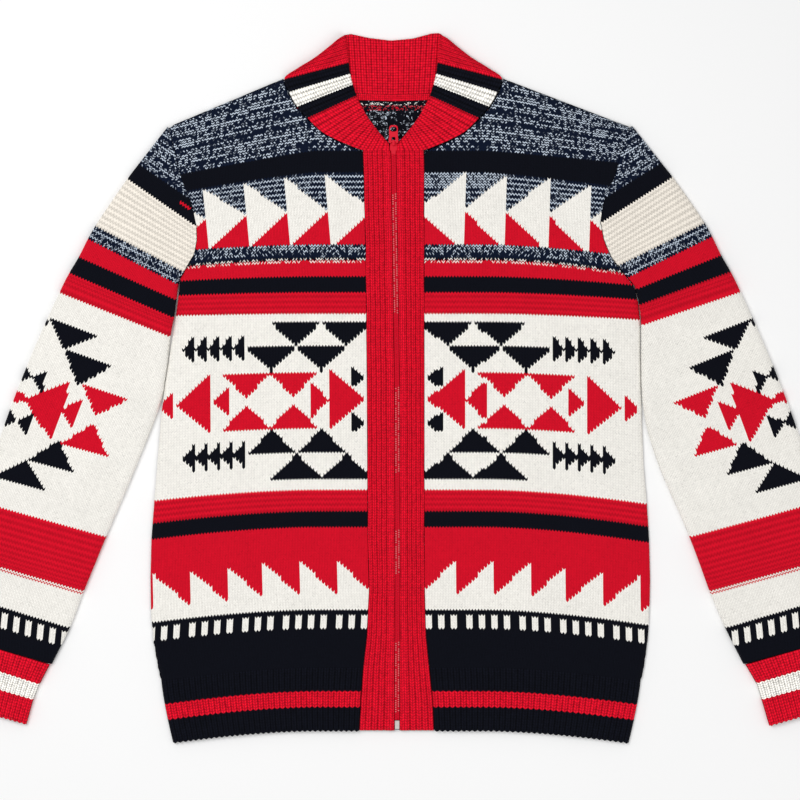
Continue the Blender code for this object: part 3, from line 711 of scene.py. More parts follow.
def make_sleeve(left, sizes, knit):
    """Sleeve: an upper layer of stitches and a plain lower layer."""
    sign, side = (-1, "left") if left else (1, "right")
    w = sizes.wale * TO_MM
    rows = sleeve_rows(left, sizes)
    count = len(rows)
    across = rows[:, 2:4] - rows[:, 0:2]
    length = np.linalg.norm(across, axis=1)
    way = across / np.maximum(length, 1e-6)[:, None]
    hole = ARMHOLE[0][1 if left else 3]

    # Each row ends at the body; below the underarm it doesn't grow to reach it.
    fine = np.linspace(0, 1.25, 400)
    for k in range(count):
        px, py = (rows[k, n] + across[k, n] * fine for n in (0, 1))
        limit = edge_x(py, left) + sign * (2 * SEAM)
        inside = ((px - limit) * sign < 0) & (py > hole - 170)
        if inside.any():
            first = np.argmax(inside)
            length[k] *= fine[first] if py[first] > hole else min(fine[first], 1.0)

    def places(steps):
        """Distance from the outer fold, x and y at steps of a stitch."""
        s = np.minimum(steps[None, :] * w, length[:, None])
        return s, rows[:, 0:1] + way[:, 0:1] * s, rows[:, 1:2] + way[:, 1:2] * s

    def yarns(steps):
        """Number across, number down and yarn of each stitch."""
        i, j = np.meshgrid(np.floor(0.5 * (steps[1:] + steps[:-1])), np.arange(count - 1))
        return i, j, sleeve_yarn(i, j, bands, middle, sizes)

    lines = np.arange(count)[:, None]
    height = rows[:, 4:5]
    bands = rows[:-1, 5].astype(int)
    middle = float(np.interp(5.8, -rows[:, 1], np.arange(count)))
    steps = np.concatenate([[0, 0.06, 0.15], np.arange(0.25, 56, 0.25)])
    s, x, y = places(steps)
    to_inner = length[:, None] - s
    slant = np.where(np.arange(count) < np.argmax(rows[:, 5] == NAVY), 0.42, 0.75)
    slant[[0, -1]] = 0
    down = slant[:, None] * sizes.course * TO_MM * zigzag(steps)[None, :]
    down = down * smooth(s / (0.5 * w)) * smooth(to_inner / (0.5 * w))
    x = x - way[:, 1:2] * down * sign
    y = y - np.abs(way[:, 0:1]) * down
    ends = y[:, -1:] < hole
    near = np.where(ends, np.minimum(s, to_inner), s)
    full = height + fold_height(x, y) * smooth(near / 20)
    fold = FOLD_SHARE * height
    z = fold + (full - fold) * round_off(near, 9.0)
    seam = np.exp(-(to_inner / 3.2) ** 2) * (1 - smooth((hole + 30 - y[:, -1:]) / 60))
    z = np.where(ends, z, z - 1.4 * seam)
    z = z + 0.3 * np.abs(np.sin(2 * np.pi * steps))[None, :] * smooth(near / 4)
    z = z - 0.3 * np.exp(-((count - 1 - lines) / 1.3) ** 2)
    i, j, yarn = yarns(steps)
    dash_top = np.argmax((bands == NAVY) & (np.arange(count - 1) > middle)) + 2
    bars = (j >= dash_top) & (j < dash_top + 5) & ((i + 1) % 4 < 2)
    yarn = np.where(bars, ECRU, yarn)
    if left:
        # One loose red stitch line by the armhole, under the mixed yarn.
        first = int(np.argmax(bands == NAVY)) + 2
        stitches = length[first] / w
        yarn[first, (i[first] > stitches - 4.5) & (i[first] < stitches - 1)] = RED
    upper = patch(x, y, z, s / w, -lines, yarn, has_width(s))

    steps = np.concatenate([[0, 0.5], np.arange(2, 58, 2)])
    s, x, y = places(steps)
    near = np.where(ends, np.minimum(s, length[:, None] - s), s)
    z = under_height(near, height)
    lower = patch(x, y, z, -s / w, -lines, yarns(steps)[2], has_width(s), facing=-1)
    return make_piece("knit_sleeve_" + side, [upper, lower], [knit], "sleeve_" + side)


def make_hem(side, sizes, rib, knit):
    """Ribbed hem of a front or of the back."""
    h = sizes.course * TO_MM

    def side_x(part, left):
        """Side of the hem, from 0 at its seam to 1 at its lower edge."""
        return -254.6 + 12.4 * part ** 1.3 if left else 256.6 - 12.6 * part ** 1.3

    if side == "back":
        part = np.linspace(0, 1, 8)[:, None]
        first, last = side_x(part, True), side_x(part, False)
        x = first + 3 + (last - first - 6) * np.linspace(0, 1, 61)[None, :]
        seam = hang(x, RIB_SEAM_Y)
        y = seam - SEAM + (hem_y(x) - seam + SEAM + 1.0) * part
        faces = patch(x, y, BACK_LEVEL, x / 3.2, y / h, NAVY)
        return thicken(make_piece("rib_hem_back", [faces], [knit], "hem_back"))
    left = side == "left"
    sign = -1 if left else 1
    ribs = sizes.hem_ribs
    share = np.linspace(0, 1, int(ribs * RIB_STEPS) + 1)[None, :]
    part = np.concatenate([np.linspace(0, 1, 33), [1.012, 1.018, 1.02]])[:, None]
    inner = read(BAND, 1 if left else 3, RIB_SEAM_Y - RIB_HEIGHT * part) + sign * SEAM
    outer = side_x(np.minimum(part, 1), left)
    x = inner + (outer - inner) * share
    seam = hang(x, RIB_SEAM_Y)
    y = seam + 0.1 + (hem_y(x) - seam - 0.1) * np.minimum(part, 1.0)
    y = y - np.clip(part - 1, 0, None) * 20
    near = np.abs(outer - x)
    full = 2 * WALL + SEAM + LOFT * smooth(near / 32) * (1 - 0.4 * part)
    full = full + fold_height(x, y) * 0.6 * smooth(near / 26)
    ridge = rib_profile(share * ribs)
    y = y - 0.55 * h * (zigzag(share * ribs) - 0.5) * (part > 0.001)
    full = full + 1.25 * (ridge - 0.75) * smooth(part * 10)
    z = SIDE_LEVEL + (full - SIDE_LEVEL) * round_off(near, 7.0)
    z = z - 0.7 * np.exp(-(np.abs(x - inner) / 2.2) ** 2)

    # The lower edge turns under in three short steps.
    z = np.where(part > 1.019, 1.2, np.where(part > 1.015, z * 0.55, np.where(part > 1, z * 0.88, z)))
    middle = 0.5 * (part[1:] + part[:-1])
    yarn = np.where((middle > 0.385) & (middle < 0.635), RED, NAVY)
    faces = patch(x, y, z, share * ribs * 2, -(part * RIB_HEIGHT / h), yarn, relief=ridge)
    return make_piece("rib_hem_" + side, [faces], [rib], "hem_" + side)


def make_cuff(left, sizes, rib):
    """Ribbed cuff: upper layer with ribs and a plain lower layer."""
    sign, side = (-1, "left") if left else (1, "right")
    t = np.linspace(0, 1, 37)
    key = np.linspace(0, 1, len(CUFF))
    at = [np.interp(t, key, column(CUFF, k))[:, None] for k in range(7)]
    outer = np.hstack([at[0] * sign, at[1]])
    inner = np.hstack(at[2:4] if left else at[4:6])
    height = at[6]
    across = inner - outer
    length = np.linalg.norm(across, axis=1)[:, None]
    ribs = sizes.cuff_ribs
    v = -(t[:, None] * RIB_HEIGHT / (sizes.course * TO_MM))
    middle = (t[1:, None] + t[:-1, None]) / 2
    yarn = np.where((middle > 0.3) & (middle < 0.62), ECRU, RED)

    def places(share):
        """Distance from the nearer edge, x and y at shares of the way across."""
        near = np.minimum(share, 1 - share) * length
        return near, outer[:, 0:1] + across[:, 0:1] * share, outer[:, 1:2] + across[:, 1:2] * share

    fine = np.linspace(0.02, 0.98, int(ribs * RIB_STEPS) + 1)
    share = np.concatenate([[0, 0.006], fine, [0.994, 1.0]])[None, :]
    near, x, y = places(share)
    ridge = rib_profile(share * ribs)
    rows = np.arange(len(t))[:, None]
    full = height + 1.1 * (ridge - 0.7) + 0.25 * fold_height(x, y) - 0.5 * np.exp(-(rows / 1.2) ** 2)
    fold = FOLD_SHARE * height
    z = fold + (full - fold) * round_off(near, 8.0)
    z = np.where(rows == 36, z * 0.72, np.where(rows == 35, z * 0.93, z))
    y = y - 0.5 * sizes.course * TO_MM * (zigzag(share * ribs) - 0.5) * (rows > 0)
    upper = patch(x, y, z, share * ribs * 2, v, yarn, relief=ridge)
    share = np.linspace(0, 1, 33)[None, :]
    near, x, y = places(share)
    lower = patch(x, y, under_height(near, height), share * ribs * 2, v, yarn, facing=-1)
    return make_piece("rib_cuff_" + side, [upper, lower], [rib], "cuff_" + side)


def curve_rows(table, count):
    """Rows of a table read at even steps on a smooth curve, and their places in the table."""
    rows = np.array(table, dtype=float)
    last = len(rows) - 1
    place = np.linspace(0, last, count)
    k = np.clip(place.astype(int), 0, last - 1)
    four = [rows[np.clip(k + n, 0, last)] for n in (-1, 0, 1, 2)]
    return spline(*four, (place - k)[:, None]), place


def collar_front(left, h):
    """One front part of the collar, folded over at the shoulder."""
    ribs = 22
    rows, place = curve_rows(COLLAR_FRONT, ribs * RIB_STEPS + 1)
    free = rows[:, 2:4]
    reach = free - rows[:, 0:2]
    seam = rows[:, 0:2] + reach * (0.2 / np.linalg.norm(reach, axis=1))[:, None]
    length = np.linalg.norm(free - seam, axis=1)[:, None]
    share = np.concatenate([[0, 0.01, 0.03], np.linspace(0.05, 0.975, 90), [0.985, 0.995, 1.0, 1.0]])[None, :]
    fold = np.clip(rows[:, 4:5], 0, 1)
    d = share * length
    along = np.gradient(seam + free, axis=0)
    along = along / np.linalg.norm(along, axis=1)[:, None]
    shift = 1.1 * (zigzag(d / 3.1) - 0.5)
    shift = shift * smooth(place / 0.6)[:, None] * smooth((13 - place) / 0.3)[:, None]
    x, y = (seam[:, k:k + 1] + (free - seam)[:, k:k + 1] * share + along[:, k:k + 1] * shift for k in (0, 1))
    ridge = rib_profile(np.linspace(0, ribs, ribs * RIB_STEPS + 1)[:, None])
    z = COLLAR_UNDER + COLLAR_WALL + 1.2 * (ridge - 0.6) + 0.3 * fold_height(x, y)
    z = z + 0.5 * np.sin(np.pi * share) + 0.8 * fold * np.sin(np.pi * np.clip(share * 1.3, 0, 1))
    z = z * (1 - 0.75 * fold * (1 - round_off(d, 7.0))) - (1 - fold) * 0.6 * np.exp(-(d / 2.0) ** 2)
    z = z - 2.2 * (1 - round_off((1 - share) * length, 2.6))
    z[:, -1] = COLLAR_UNDER - 1.0
    middle = 0.5 * (place[1:] + place[:-1])[:, None]
    yarn = np.where((middle > 5.95) & (middle < 8.85), NAVY, RED)
    yarn = np.where((middle > 6.95) & (middle < 7.95), ECRU, yarn)
    u = np.linspace(0, ribs * 2, ribs * RIB_STEPS + 1)[:, None]
    return patch(x if left else COLLAR_MIRROR - x, y, z, u, d / h, yarn, relief=ridge)


def make_collar(sizes, rib):
    """Collar: the back part with its ribs facing up and two front parts folded over."""
    h = sizes.course * TO_MM
    first = -117.0
    last = COLLAR_MIRROR - first
    ribs = round((last - first) / 5.7)
    x = np.linspace(first, last, ribs * RIB_STEPS + 1)[None, :]
    share = np.concatenate([[0, 0.02], np.linspace(0.05, 0.95, 24), [0.98, 1.0, 1.0]])[:, None]
    low = read(BACK_NECK, 1, x) + SEAM
    high = read(COLLAR_TOP, 1, x) - 0.4
    y = low + (high - low) * share
    lean = (x - MIDDLE_X) * 0.10 * (share - 0.5) * smooth((60 - np.abs(x - MIDDLE_X)) / 20)
    ridge = rib_profile(np.linspace(0, ribs, ribs * RIB_STEPS + 1)[None, :])
    z = COLLAR_WALL + 1.3 * (ridge - 0.6) + 0.6 * np.sin(np.pi * share)
    z = z - 1.6 * (1 - round_off((1 - share) * (high - low), 2.6))
    z[-1] = 0.3
    u = np.linspace(0, ribs * 2, ribs * RIB_STEPS + 1)[None, :]
    back = patch(x + lean, y, z, u, share * (high - low) / h, RED, relief=ridge)
    patches = [collar_front(True, h), collar_front(False, h), back]
    return make_piece("rib_collar", patches, [rib], "collar")


def make_band(left, sizes, rib):
    """Zip band with three rib columns, a groove and a smooth column by the zip."""
    side = "left" if left else "right"
    y = np.linspace(BAND_FOOT, 254.3, 305)[:, None]
    zip_x = read(BAND, 2, y) + (-ZIP_HALF if left else ZIP_HALF)
    edge = read(BAND, 1 if left else 3, y)
    share, raised = (column(BAND_PROFILE, k)[None, :] for k in (0, 1))
    x = edge + (zip_x - edge) * share + 0.18 * np.sin(y * 0.09)
    z = 6.3 + raised * 0.95 + fold_height(x, y) * 0.5
    u = np.interp(share, [0, 0.155, 0.33, 0.51, 0.69, 0.85, 1.0], [0, 2, 4, 6, 8, 10, 12])
    v = y / (sizes.course * TO_MM)
    foot = np.clip((y - BAND_FOOT) / 3, 0, 1)
    z = z - 3.0 * (1 - np.sqrt(1 - (1 - foot) ** 2))
    y = y - 1.9 * zigzag(u / 2) * (foot > 0.9) * (y < 252)
    faces = patch(x, y, z, u, v, RED, relief=np.clip(raised * 0.72 + 0.34, 0, 1))
    return make_piece("rib_band_" + side, [faces], [rib], "placket_" + side)


def make_neck_tape(rib):
    """Tape over the back neck seam: two round cords of knit side by side."""
    x = np.linspace(-100, 85.4, 160)[None, :]
    share = np.linspace(0, 1, 15)[:, None]
    y = read(BACK_NECK, 1, x) - SEAM - 6.6 + 7.2 * share
    z = 2.75 + 1.3 * np.sqrt(np.abs(np.sin(2 * np.pi * share)))
    return make_piece("knit_neck_tape", [patch(x, y, z, x / 2.1, share * 3, RED)], [rib], "neck_tape")


# Kinds of shader node by a short name: the node, its settings, the inputs that values go to, the output.
# Any other name is a step of arithmetic.
NODE_KINDS = {
    "stitch_place": ("UVMap", {"uv_map": "stitch"}, (), 0),
    "place": ("TexCoord", {}, (), "Object"),
    "number": ("Attribute", {}, (), "Fac"),
    "split": ("SeparateXYZ", {}, (0,), 0),
    "cell": ("CombineXYZ", {}, (0, 1, 2), 0),
    "grey": ("CombineColor", {}, (0, 1, 2), 0),
    "noise": ("TexNoise", {}, ("Vector", "Scale", "Detail"), 0),
    "chance": ("TexWhiteNoise", {"noise_dimensions": "3D"}, (0,), 0),
    "row_chance": ("TexWhiteNoise", {"noise_dimensions": "1D"}, (1,), 0),
    "map": ("MapRange", {"clamp": True}, (0, 1, 2, 3, 4), 0),
    "ramp": ("ValToRGB", {}, (0,), 0),
    "mix_values": ("Mix", {"data_type": "FLOAT"}, (0, 2, 3), 0),
    "mix_colours": ("Mix", {"data_type": "RGBA"}, (0, 6, 7), 2),
    "bump": ("Bump", {}, ("Strength", "Distance", "Height"), 0),
}


def add_node(tree, kind, *values, **settings):
    """Output of a new shader node; each value is a socket to link or a plain value."""
    full, given, places, output = NODE_KINDS.get(kind, ("Math", {"operation": kind}, (0, 1, 2), 0))
    made = tree.nodes.new("ShaderNode" + full)
    for key, value in {**given, **settings}.items():
        setattr(made, key, value)
    for place, value in zip(places, values):
        if isinstance(value, bpy.types.NodeSocket):
            tree.links.new(value, made.inputs[place])
        else:
            made.inputs[place].default_value = value
    return made.outputs[output]


def new_material(name, roughness, specular):
    """New material of an even roughness and specular level, with its tree and its shader."""
    made = bpy.data.materials.new(name)
    made.use_nodes = True
    shader = made.node_tree.nodes["Principled BSDF"]
    shader.inputs["Roughness"].default_value = roughness
    shader.inputs["Specular IOR Level"].default_value = specular
    return made, made.node_tree, shader


def link_looks(tree, shader, colour, strength, depth, height):
    """Link a colour and a bump of a depth in metres to a shader."""
    tree.links.new(colour, shader.inputs["Base Color"])
    bump = add_node(tree, "bump", strength, depth, height)
    tree.links.new(bump, shader.inputs["Normal"])


def knitted(name, colours, kind):
    """Machine-knitted cotton: plain stockinette, rib, or its inside.

    Matte, soft yarn gives rows of small V stitches; painted shade darkens the gaps between their legs, and
    more so the valleys between ribs.
    Mixed yarn is a dark and a light strand twisted together, which shows as light flecks along the rows.
    """
    made, tree, shader = new_material(name, 0.95, 0.06)
    add = partial(add_node, tree)
    rib = kind == "rib"
    inside = kind == "inside"
    red, navy, ecru, cream, denim, blue = (
        (*getattr(colours, part), 1) for part in ("red", "navy", "ecru", "cream", "denim", "blue"))
    where = add("place")
    u = add("split", add("stitch_place"))
    v = u.node.outputs[1]
    if inside:
        # The reverse shows loose strands, so its stitches are small and bent.
        level = add("FLOOR", v)
        bend_u = add("split", add("noise", where, 230.0, 1.0).node.outputs[1])
        bend_v = bend_u.node.outputs[1]
        u = add("MULTIPLY_ADD", u, 1.3, add("MULTIPLY", bend_u, 3.4))
        v = add("MULTIPLY_ADD", v, 1.4, add("MULTIPLY", bend_v, 3.4))
    yarn = add("number", attribute_name="yarn")
    ribs = add("number", attribute_name="relief")
    is_cream, is_ridged, is_marl, is_striped, is_pale = (
        add("COMPARE", yarn, float(number), 0.4)
        for number in (CREAM, RED_RIDGED, MARL, MARL_STRIPED, PALE_BLUE))
    is_dashed = add("GREATER_THAN", yarn, WHITE_DASHES - 0.4)

    # Stitch legs: the mesh gives their slant, two for each stitch.
    legs = add("MULTIPLY", u, 1.0 if rib else 2.0)
    leg, along = (add("SINE", add("MULTIPLY", add("FRACT", way), math.pi)) for way in (legs, v))
    dent, power = (0.85, 0.9) if rib else (0.7, 0.6)
    plain = add("MULTIPLY", leg, add("MULTIPLY_ADD", along, dent, 1 - dent))
    plain = add("POWER", plain, power)

    # Ridges of purl rows, 5.7 mm apart, with a row of small holes under each.
    wave = add("MULTIPLY_ADD", add("SINE", add("MULTIPLY", v, math.pi)), 0.5, 0.5)
    holes = add("MULTIPLY_ADD", add("SINE", add("MULTIPLY", u, 4 * math.pi)), 0.22, 0.72)
    ridge = add("SUBTRACT", 1.0, add("MULTIPLY", add("SUBTRACT", 1.0, wave), holes))
    ridge = add("MULTIPLY_ADD", ridge, 1.35, -0.45)
    height = add("mix_values", add("ADD", is_cream, is_ridged), plain, ridge)

    # One random value for each leg, for each stitch and for each row, and soft patches over the cloth.
    row = add("FLOOR", v)
    leg_chance = add("chance", add("cell", add("FLOOR", legs), row), noise_dimensions="2D")
    chance = add("chance", add("cell", add("FLOOR", u), row, 7.0))
    row_chance = add("row_chance", row)
    patchy = add("noise", where, 28.0, 2.0)

    # The plain colour of each yarn, in the order of the yarn numbers.
    stops = (red, navy, ecru, cream, navy, red, navy, blue, navy, red)
    ramp = add("ramp", add("DIVIDE", add("ADD", yarn, 0.5), float(len(stops))))
    steps = ramp.node.color_ramp
    steps.interpolation = "CONSTANT"
    while len(steps.elements) < len(stops):
        steps.elements.new(0.999)
    for k, colour in enumerate(stops):
        steps.elements[k].position = k / len(stops)
        steps.elements[k].color = colour

    # Mixed yarn: light legs, few in some rows and many in others.
    drift = add("cell", add("MULTIPLY", u, 0.05), add("MULTIPLY", row, 2.3))
    stripe = add("noise", drift, 1.0, 1.0, noise_dimensions="2D")
    wander = add("ADD", stripe, add("MULTIPLY_ADD", row_chance, 0.3, -0.15))
    fewest, most = (0.04, 0.4) if inside else (0.16, 0.52)
    many = add("map", wander, 0.3, 0.72, fewest, most)
    if kind == "plain":
        turn = add("FRACT", add("MULTIPLY_ADD", row, 0.382, 100.2))
        many = add("MULTIPLY_ADD", add("GREATER_THAN", turn, 0.80), 0.38, many)
        many = add("MULTIPLY_ADD", add("LESS_THAN", turn, 0.16), -0.30, many)
    pair = add("LESS_THAN", add("FRACT", add("MULTIPLY", add("ADD", row, 0.5), 0.5)), 0.5)
    evenly = add("MULTIPLY", add("MULTIPLY_ADD", pair, 0.8, 0.08), add("MULTIPLY_ADD", stripe, 0.8, 0.6))
    for chosen, share in ((is_striped, evenly), (is_pale, 0.74), (is_dashed, 0.5)):
        many = add("mix_values", chosen, many, share)
    # The light strand keeps to the middle of each row, so the gaps between rows stay dark: painted shade.
    thin = add("map", along, 0.62, 0.92, 0.02, 1.0)
    light = add("map", add("SUBTRACT", many, leg_chance), -0.12, 0.12, 0.0, 1.0)
    light = add("MULTIPLY", light, thin)
    strand = add("mix_colours", is_dashed, blue, ecru)
    deep = add("mix_colours", is_dashed, navy if inside else denim, ramp)
    mixed = add("mix_colours", light, deep, strand)
    if inside:
        # Three rows of other yarn show through at the back neck, as broken lines.
        base = mixed
        broken = add("MULTIPLY", add("LESS_THAN", leg_chance, 0.42), thin)
        for number, colour in ((209.0, red), (210.0, red), (211.0, ecru)):
            line = add("MULTIPLY", add("COMPARE", level, number, 0.4), broken)
            base = add("mix_colours", line, base, colour)
    else:
        mixes = is_marl
        for chosen in (is_striped, is_dashed, is_pale):
            mixes = add("ADD", mixes, chosen)
        base = add("mix_colours", mixes, ramp, mixed)

    # Painted shade: darker between the legs, between the rows and in the valleys of ribs; small random
    # differences of tone from stitch to stitch.
    contrast, floor = (0.95, 0.55) if rib else (0.30, 0.785)
    shade = add("MULTIPLY_ADD", height, contrast, floor)
    differences = [(chance, 0.06), (patchy, 0.08), (leg_chance, 0.24 if rib else 0.05)]
    if rib:
        differences.append((add("noise", where, 420.0, 2.0), 0.9))
    for value, amount in differences:
        shade = add("ADD", shade, add("MULTIPLY_ADD", value, amount, -amount / 2))
    # Painted shade of a few random holes: dark specks in the lower part of a leg.
    hole_shade = add("MULTIPLY", add("GREATER_THAN", leg_chance, 0.93), add("LESS_THAN", add("FRACT", v), 0.4))
    shade = add("MULTIPLY_ADD", hole_shade, -0.17, shade)
    # Painted shade in the valleys between ribs, from the relief attribute, deepest between rows.
    valley_shade = add("MULTIPLY", add("SUBTRACT", 1.0, ribs), add("MULTIPLY_ADD", along, -0.7, 1.05))
    shade = add("MULTIPLY", shade, add("MULTIPLY_ADD", valley_shade, -0.42, 1.0))
    final = add("mix_colours", 1.0, base, add("grey", shade, shade, shade), blend_type="MULTIPLY")

    # Loose fibres, about 0.5 mm apart, over the stitches.
    fibre = add("noise", where, 1800.0, 2.0)
    link_looks(tree, shader, final, 0.6, 0.0007, add("ADD", height, add("MULTIPLY", fibre, 0.25)))
    shader.inputs["Sheen Weight"].default_value = 0.015
    shader.inputs["Sheen Roughness"].default_value = 0.6
    return made


def enamel(name, colour, gloss=0.3):
    """Die-cast zinc with baked enamel, or teeth moulded in acetal.

    A thin, even colour with a soft gloss, a little darker and duller in places about 2 mm apart.
    """
    made, tree, shader = new_material(name, 0.5, gloss)
    add = partial(add_node, tree)
    fine = add("noise", add("place"), 420.0, 3.0)
    mixed = add("mix_colours", fine, (*(c * 0.75 for c in colour), 1), (*colour, 1))
    tree.links.new(add("MULTIPLY_ADD", fine, 0.2, 0.42), shader.inputs["Roughness"])
    link_looks(tree, shader, mixed, 0.2, 0.0002, fine)
    return made


def woven(name, colour):
    """Polyester tape, woven narrow for zips: dull, with fine crossed threads about 0.4 mm apart."""
    made, tree, shader = new_material(name, 0.9, 0.05)
    add = partial(add_node, tree)
    x = add("split", add("place"))
    warp, weft = (
        add("SINE", add("MULTIPLY", way, 2 * math.pi / THREAD_GAP)) for way in (x, x.node.outputs[1]))
    cross = add("MULTIPLY_ADD", add("MULTIPLY", warp, weft), 0.5, 0.5)
    mixed = add("mix_colours", cross, (*(c * 0.6 for c in colour), 1), (*colour, 1))
    link_looks(tree, shader, mixed, 0.4, 0.0002, cross)
    return made


def paper_sweep(name):
    """Matte white background paper on a roll: almost even, with no gloss."""
    made, tree, shader = new_material(name, 1.0, 0.0)
    noise = add_node(tree, "noise", add_node(tree, "place"), 3.0)
    level = add_node(tree, "MULTIPLY_ADD", noise, 0.01, 0.97)
    tree.links.new(add_node(tree, "grey", level, level, level), shader.inputs["Base Color"])
    return made


def dress_node(node, made):
    """Better material on a CAD node that stays."""
    holders = [thing for thing in bpy.data.objects if node in (thing.name, thing.get("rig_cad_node"))]
    if not holders:
        raise RuntimeError("The frame has no node " + node)
    for holder in holders:
        for slot in holder.material_slots:
            slot.material = made


# Zip teeth and the pale caps on their tips, a painted highlight of their gloss: distance from the zip line,
# width, share of the pitch, height, level of the middle, share of the length at the top. In mm.
TOOTH = (1.15, 2.5, 0.62, 1.1, 6.25, 0.85)
TIP_HIGHLIGHT = (1.45, 1.2, 0.36, 0.16, 6.85, 1.0)
TEETH_FOOT = -350.0
TEETH_TOP = 250.0

# Stretches of the zip where the teeth's tips get a painted highlight: highest y, lowest y.
HIGHLIGHT_STRETCHES = [
    (207.0, 80.0),
    (2.0, -88.0),
    (-150.0, -196.0),
    (-270.0, -345.0),
]


def add_block(work, shape, spot, sign, pitch, material):
    """Block of a tooth or of the pale cap on its tip, a painted highlight, on one side of the zip line."""
    away, width, share, height, level, top = shape
    for vert in bmesh.ops.create_cube(work, size=1.0)["verts"]:
        long = pitch * share * (top if vert.co.z > 0 else 1.0)
        vert.co.x = (spot[0] + sign * away + vert.co.x * width) * MM
        vert.co.y = (spot[1] - MIDDLE_Y + vert.co.y * long) * MM
        vert.co.z = (level + vert.co.z * height) * MM
        for face in vert.link_faces:
            face.material_index = material


def make_teeth(sizes, red_plastic, tip_highlights):
    """Zip teeth: small moulded blocks, left and right in turn, between the bands; some tips get a painted
    highlight.
    """
    pitch = sizes.tooth_pitch * TO_MM
    work = bmesh.new()
    y = TEETH_FOOT
    k = 0
    while y < TEETH_TOP:
        zip_x = float(read(BAND, 2, y))
        worn = any(low < y < high for high, low in HIGHLIGHT_STRETCHES)
        for sign in (-1, 1):
            spot = (zip_x, y + (pitch / 2 if sign > 0 else 0))
            add_block(work, TOOTH, spot, sign, pitch, 0)
            # Most teeth in these stretches get a pale cap: a painted highlight.
            if worn and k % 7 != 3 + sign:
                add_block(work, TIP_HIGHLIGHT, spot, sign, pitch, 1)
        y += pitch
        k += 1
    teeth = add_object("zip_teeth", work, (red_plastic, tip_highlights))
    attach(teeth, "garment")


# Outline of the pull tab and of its hole, from the pivot: x, y. Place of the pivot: x, y, z. In mm.
TAB_OUTLINE = [
    (-5.2, -0.9), (-4.6, -1.4), (-2.6, -1.4), (-2.0, -0.9), (-2.0, 4.2), (-1.3, 4.9), (1.3, 4.9),
    (2.0, 4.2), (2.0, -0.9), (2.6, -1.4), (4.6, -1.4), (5.2, -0.9), (5.2, 3.0), (4.7, 5.5),
    (4.7, 14.2), (4.3, 15.9), (3.3, 17.1), (1.8, 17.6), (-1.8, 17.6), (-3.3, 17.1), (-4.3, 15.9),
    (-4.7, 14.2), (-4.7, 5.5), (-5.2, 3.0),
]
TAB_HOLE = [
    (-3.5, 12.4), (-2.9, 11.3), (-1.6, 10.7), (1.6, 10.7), (2.9, 11.3), (3.5, 12.4), (3.5, 14.0),
    (2.9, 15.1), (1.6, 15.8), (-1.6, 15.8), (-2.9, 15.1), (-3.5, 14.0),
]
PIVOT = (-6.9, 263.6, 9.9)
TAB_THICKNESS = 1.6


def make_tab(paint):
    """Pull tab: rounded plate with two legs, a hole near its end and a pin."""
    work = bmesh.new()
    edges = []
    low = (PIVOT[2] - TAB_THICKNESS / 2) * MM
    for outline in (TAB_OUTLINE, TAB_HOLE):
        verts = [work.verts.new(((PIVOT[0] + x) * MM, (PIVOT[1] + y - MIDDLE_Y) * MM, low))
                 for x, y in outline]
        edges += [work.edges.new(pair) for pair in zip(verts, verts[1:] + verts[:1])]
    bmesh.ops.triangle_fill(work, edges=edges, use_beauty=True)
    made = bmesh.ops.extrude_face_region(work, geom=work.faces[:])
    for item in made["geom"]:
        if isinstance(item, bmesh.types.BMVert):
            item.co.z += TAB_THICKNESS * MM
    bmesh.ops.recalc_face_normals(work, faces=work.faces)
    tab = add_object("zip_tab", work, (paint,))
    soft = tab.modifiers.new("edges", "BEVEL")
    soft.width = 0.0004
    soft.segments = 3
    bpy.ops.mesh.primitive_cylinder_add(
        radius=0.0007, depth=0.005, vertices=24, rotation=(0, math.pi / 2, 0),
        location=(PIVOT[0] * MM, (PIVOT[1] - MIDDLE_Y) * MM, PIVOT[2] * MM))
    pin = bpy.context.object
    pin.name = "zip_tab_pin"
    pin.data.materials.append(paint)
    for piece in (tab, pin):
        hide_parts("zip_pull")
        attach(piece, "pull_tab")


def metres(name, description, default):
    """Property for a length in metres."""
    return FloatProperty(name=name, description=description, default=default, unit="LENGTH")


def plain_number(name, description, default):
    """Property for a plain number."""
    return FloatProperty(name=name, description=description, default=default)


def hex_colour(name, description, code):
    """Property for a colour, from its sRGB hex value."""
    return FloatVectorProperty(
        name=name, description=description, default=linear(code), size=3, subtype="COLOR")


class CardiganSizes(bpy.types.PropertyGroup):
    """Real sizes of the knit and the zip."""

    wale: metres("Stitch width", "Width of one stitch", 0.00333)
    course: metres("Stitch height", "Height of one row", 0.00284)
    hem_ribs: plain_number("Hem ribs", "Ribs on each front of the hem", 36)
    cuff_ribs: plain_number("Cuff ribs", "Ribs across a cuff laid flat", 17)
    teeth_left: plain_number("Left triangles", "Stitches from one triangle to the next", 20.3)
    teeth_right: plain_number("Right triangles", "Stitches from one triangle to the next", 21.0)
    tooth_pitch: metres("Tooth pitch", "From one tooth to the next on one side", 0.00234)


class CardiganColours(bpy.types.PropertyGroup):
    """Yarn and paint colours."""

    red: hex_colour("Red", "Red cotton", "D91029")
    navy: hex_colour("Navy", "Navy, nearly black", "0C0E17")
    ecru: hex_colour("Ecru", "Unbleached white cotton", "FBF8F1")
    cream: hex_colour("Cream", "Warmer cream cotton", "F8F0E4")
    denim: hex_colour("Dark blue", "Dark strand of the mixed yarn", "0E172B")
    blue: hex_colour("Light blue", "Light strand of the mixed yarn", "D2DFEE")
    # Pale pink of the caps on the teeth's tips: a painted highlight of their gloss.
    paint: hex_colour("Zip red", "Enamel of the slider", "E81430")
    worn: hex_colour("Highlit red", "Tips of the worn teeth", "F49496")
    box: hex_colour("Box", "Moulded box at the zip's foot", "D9D4CE")


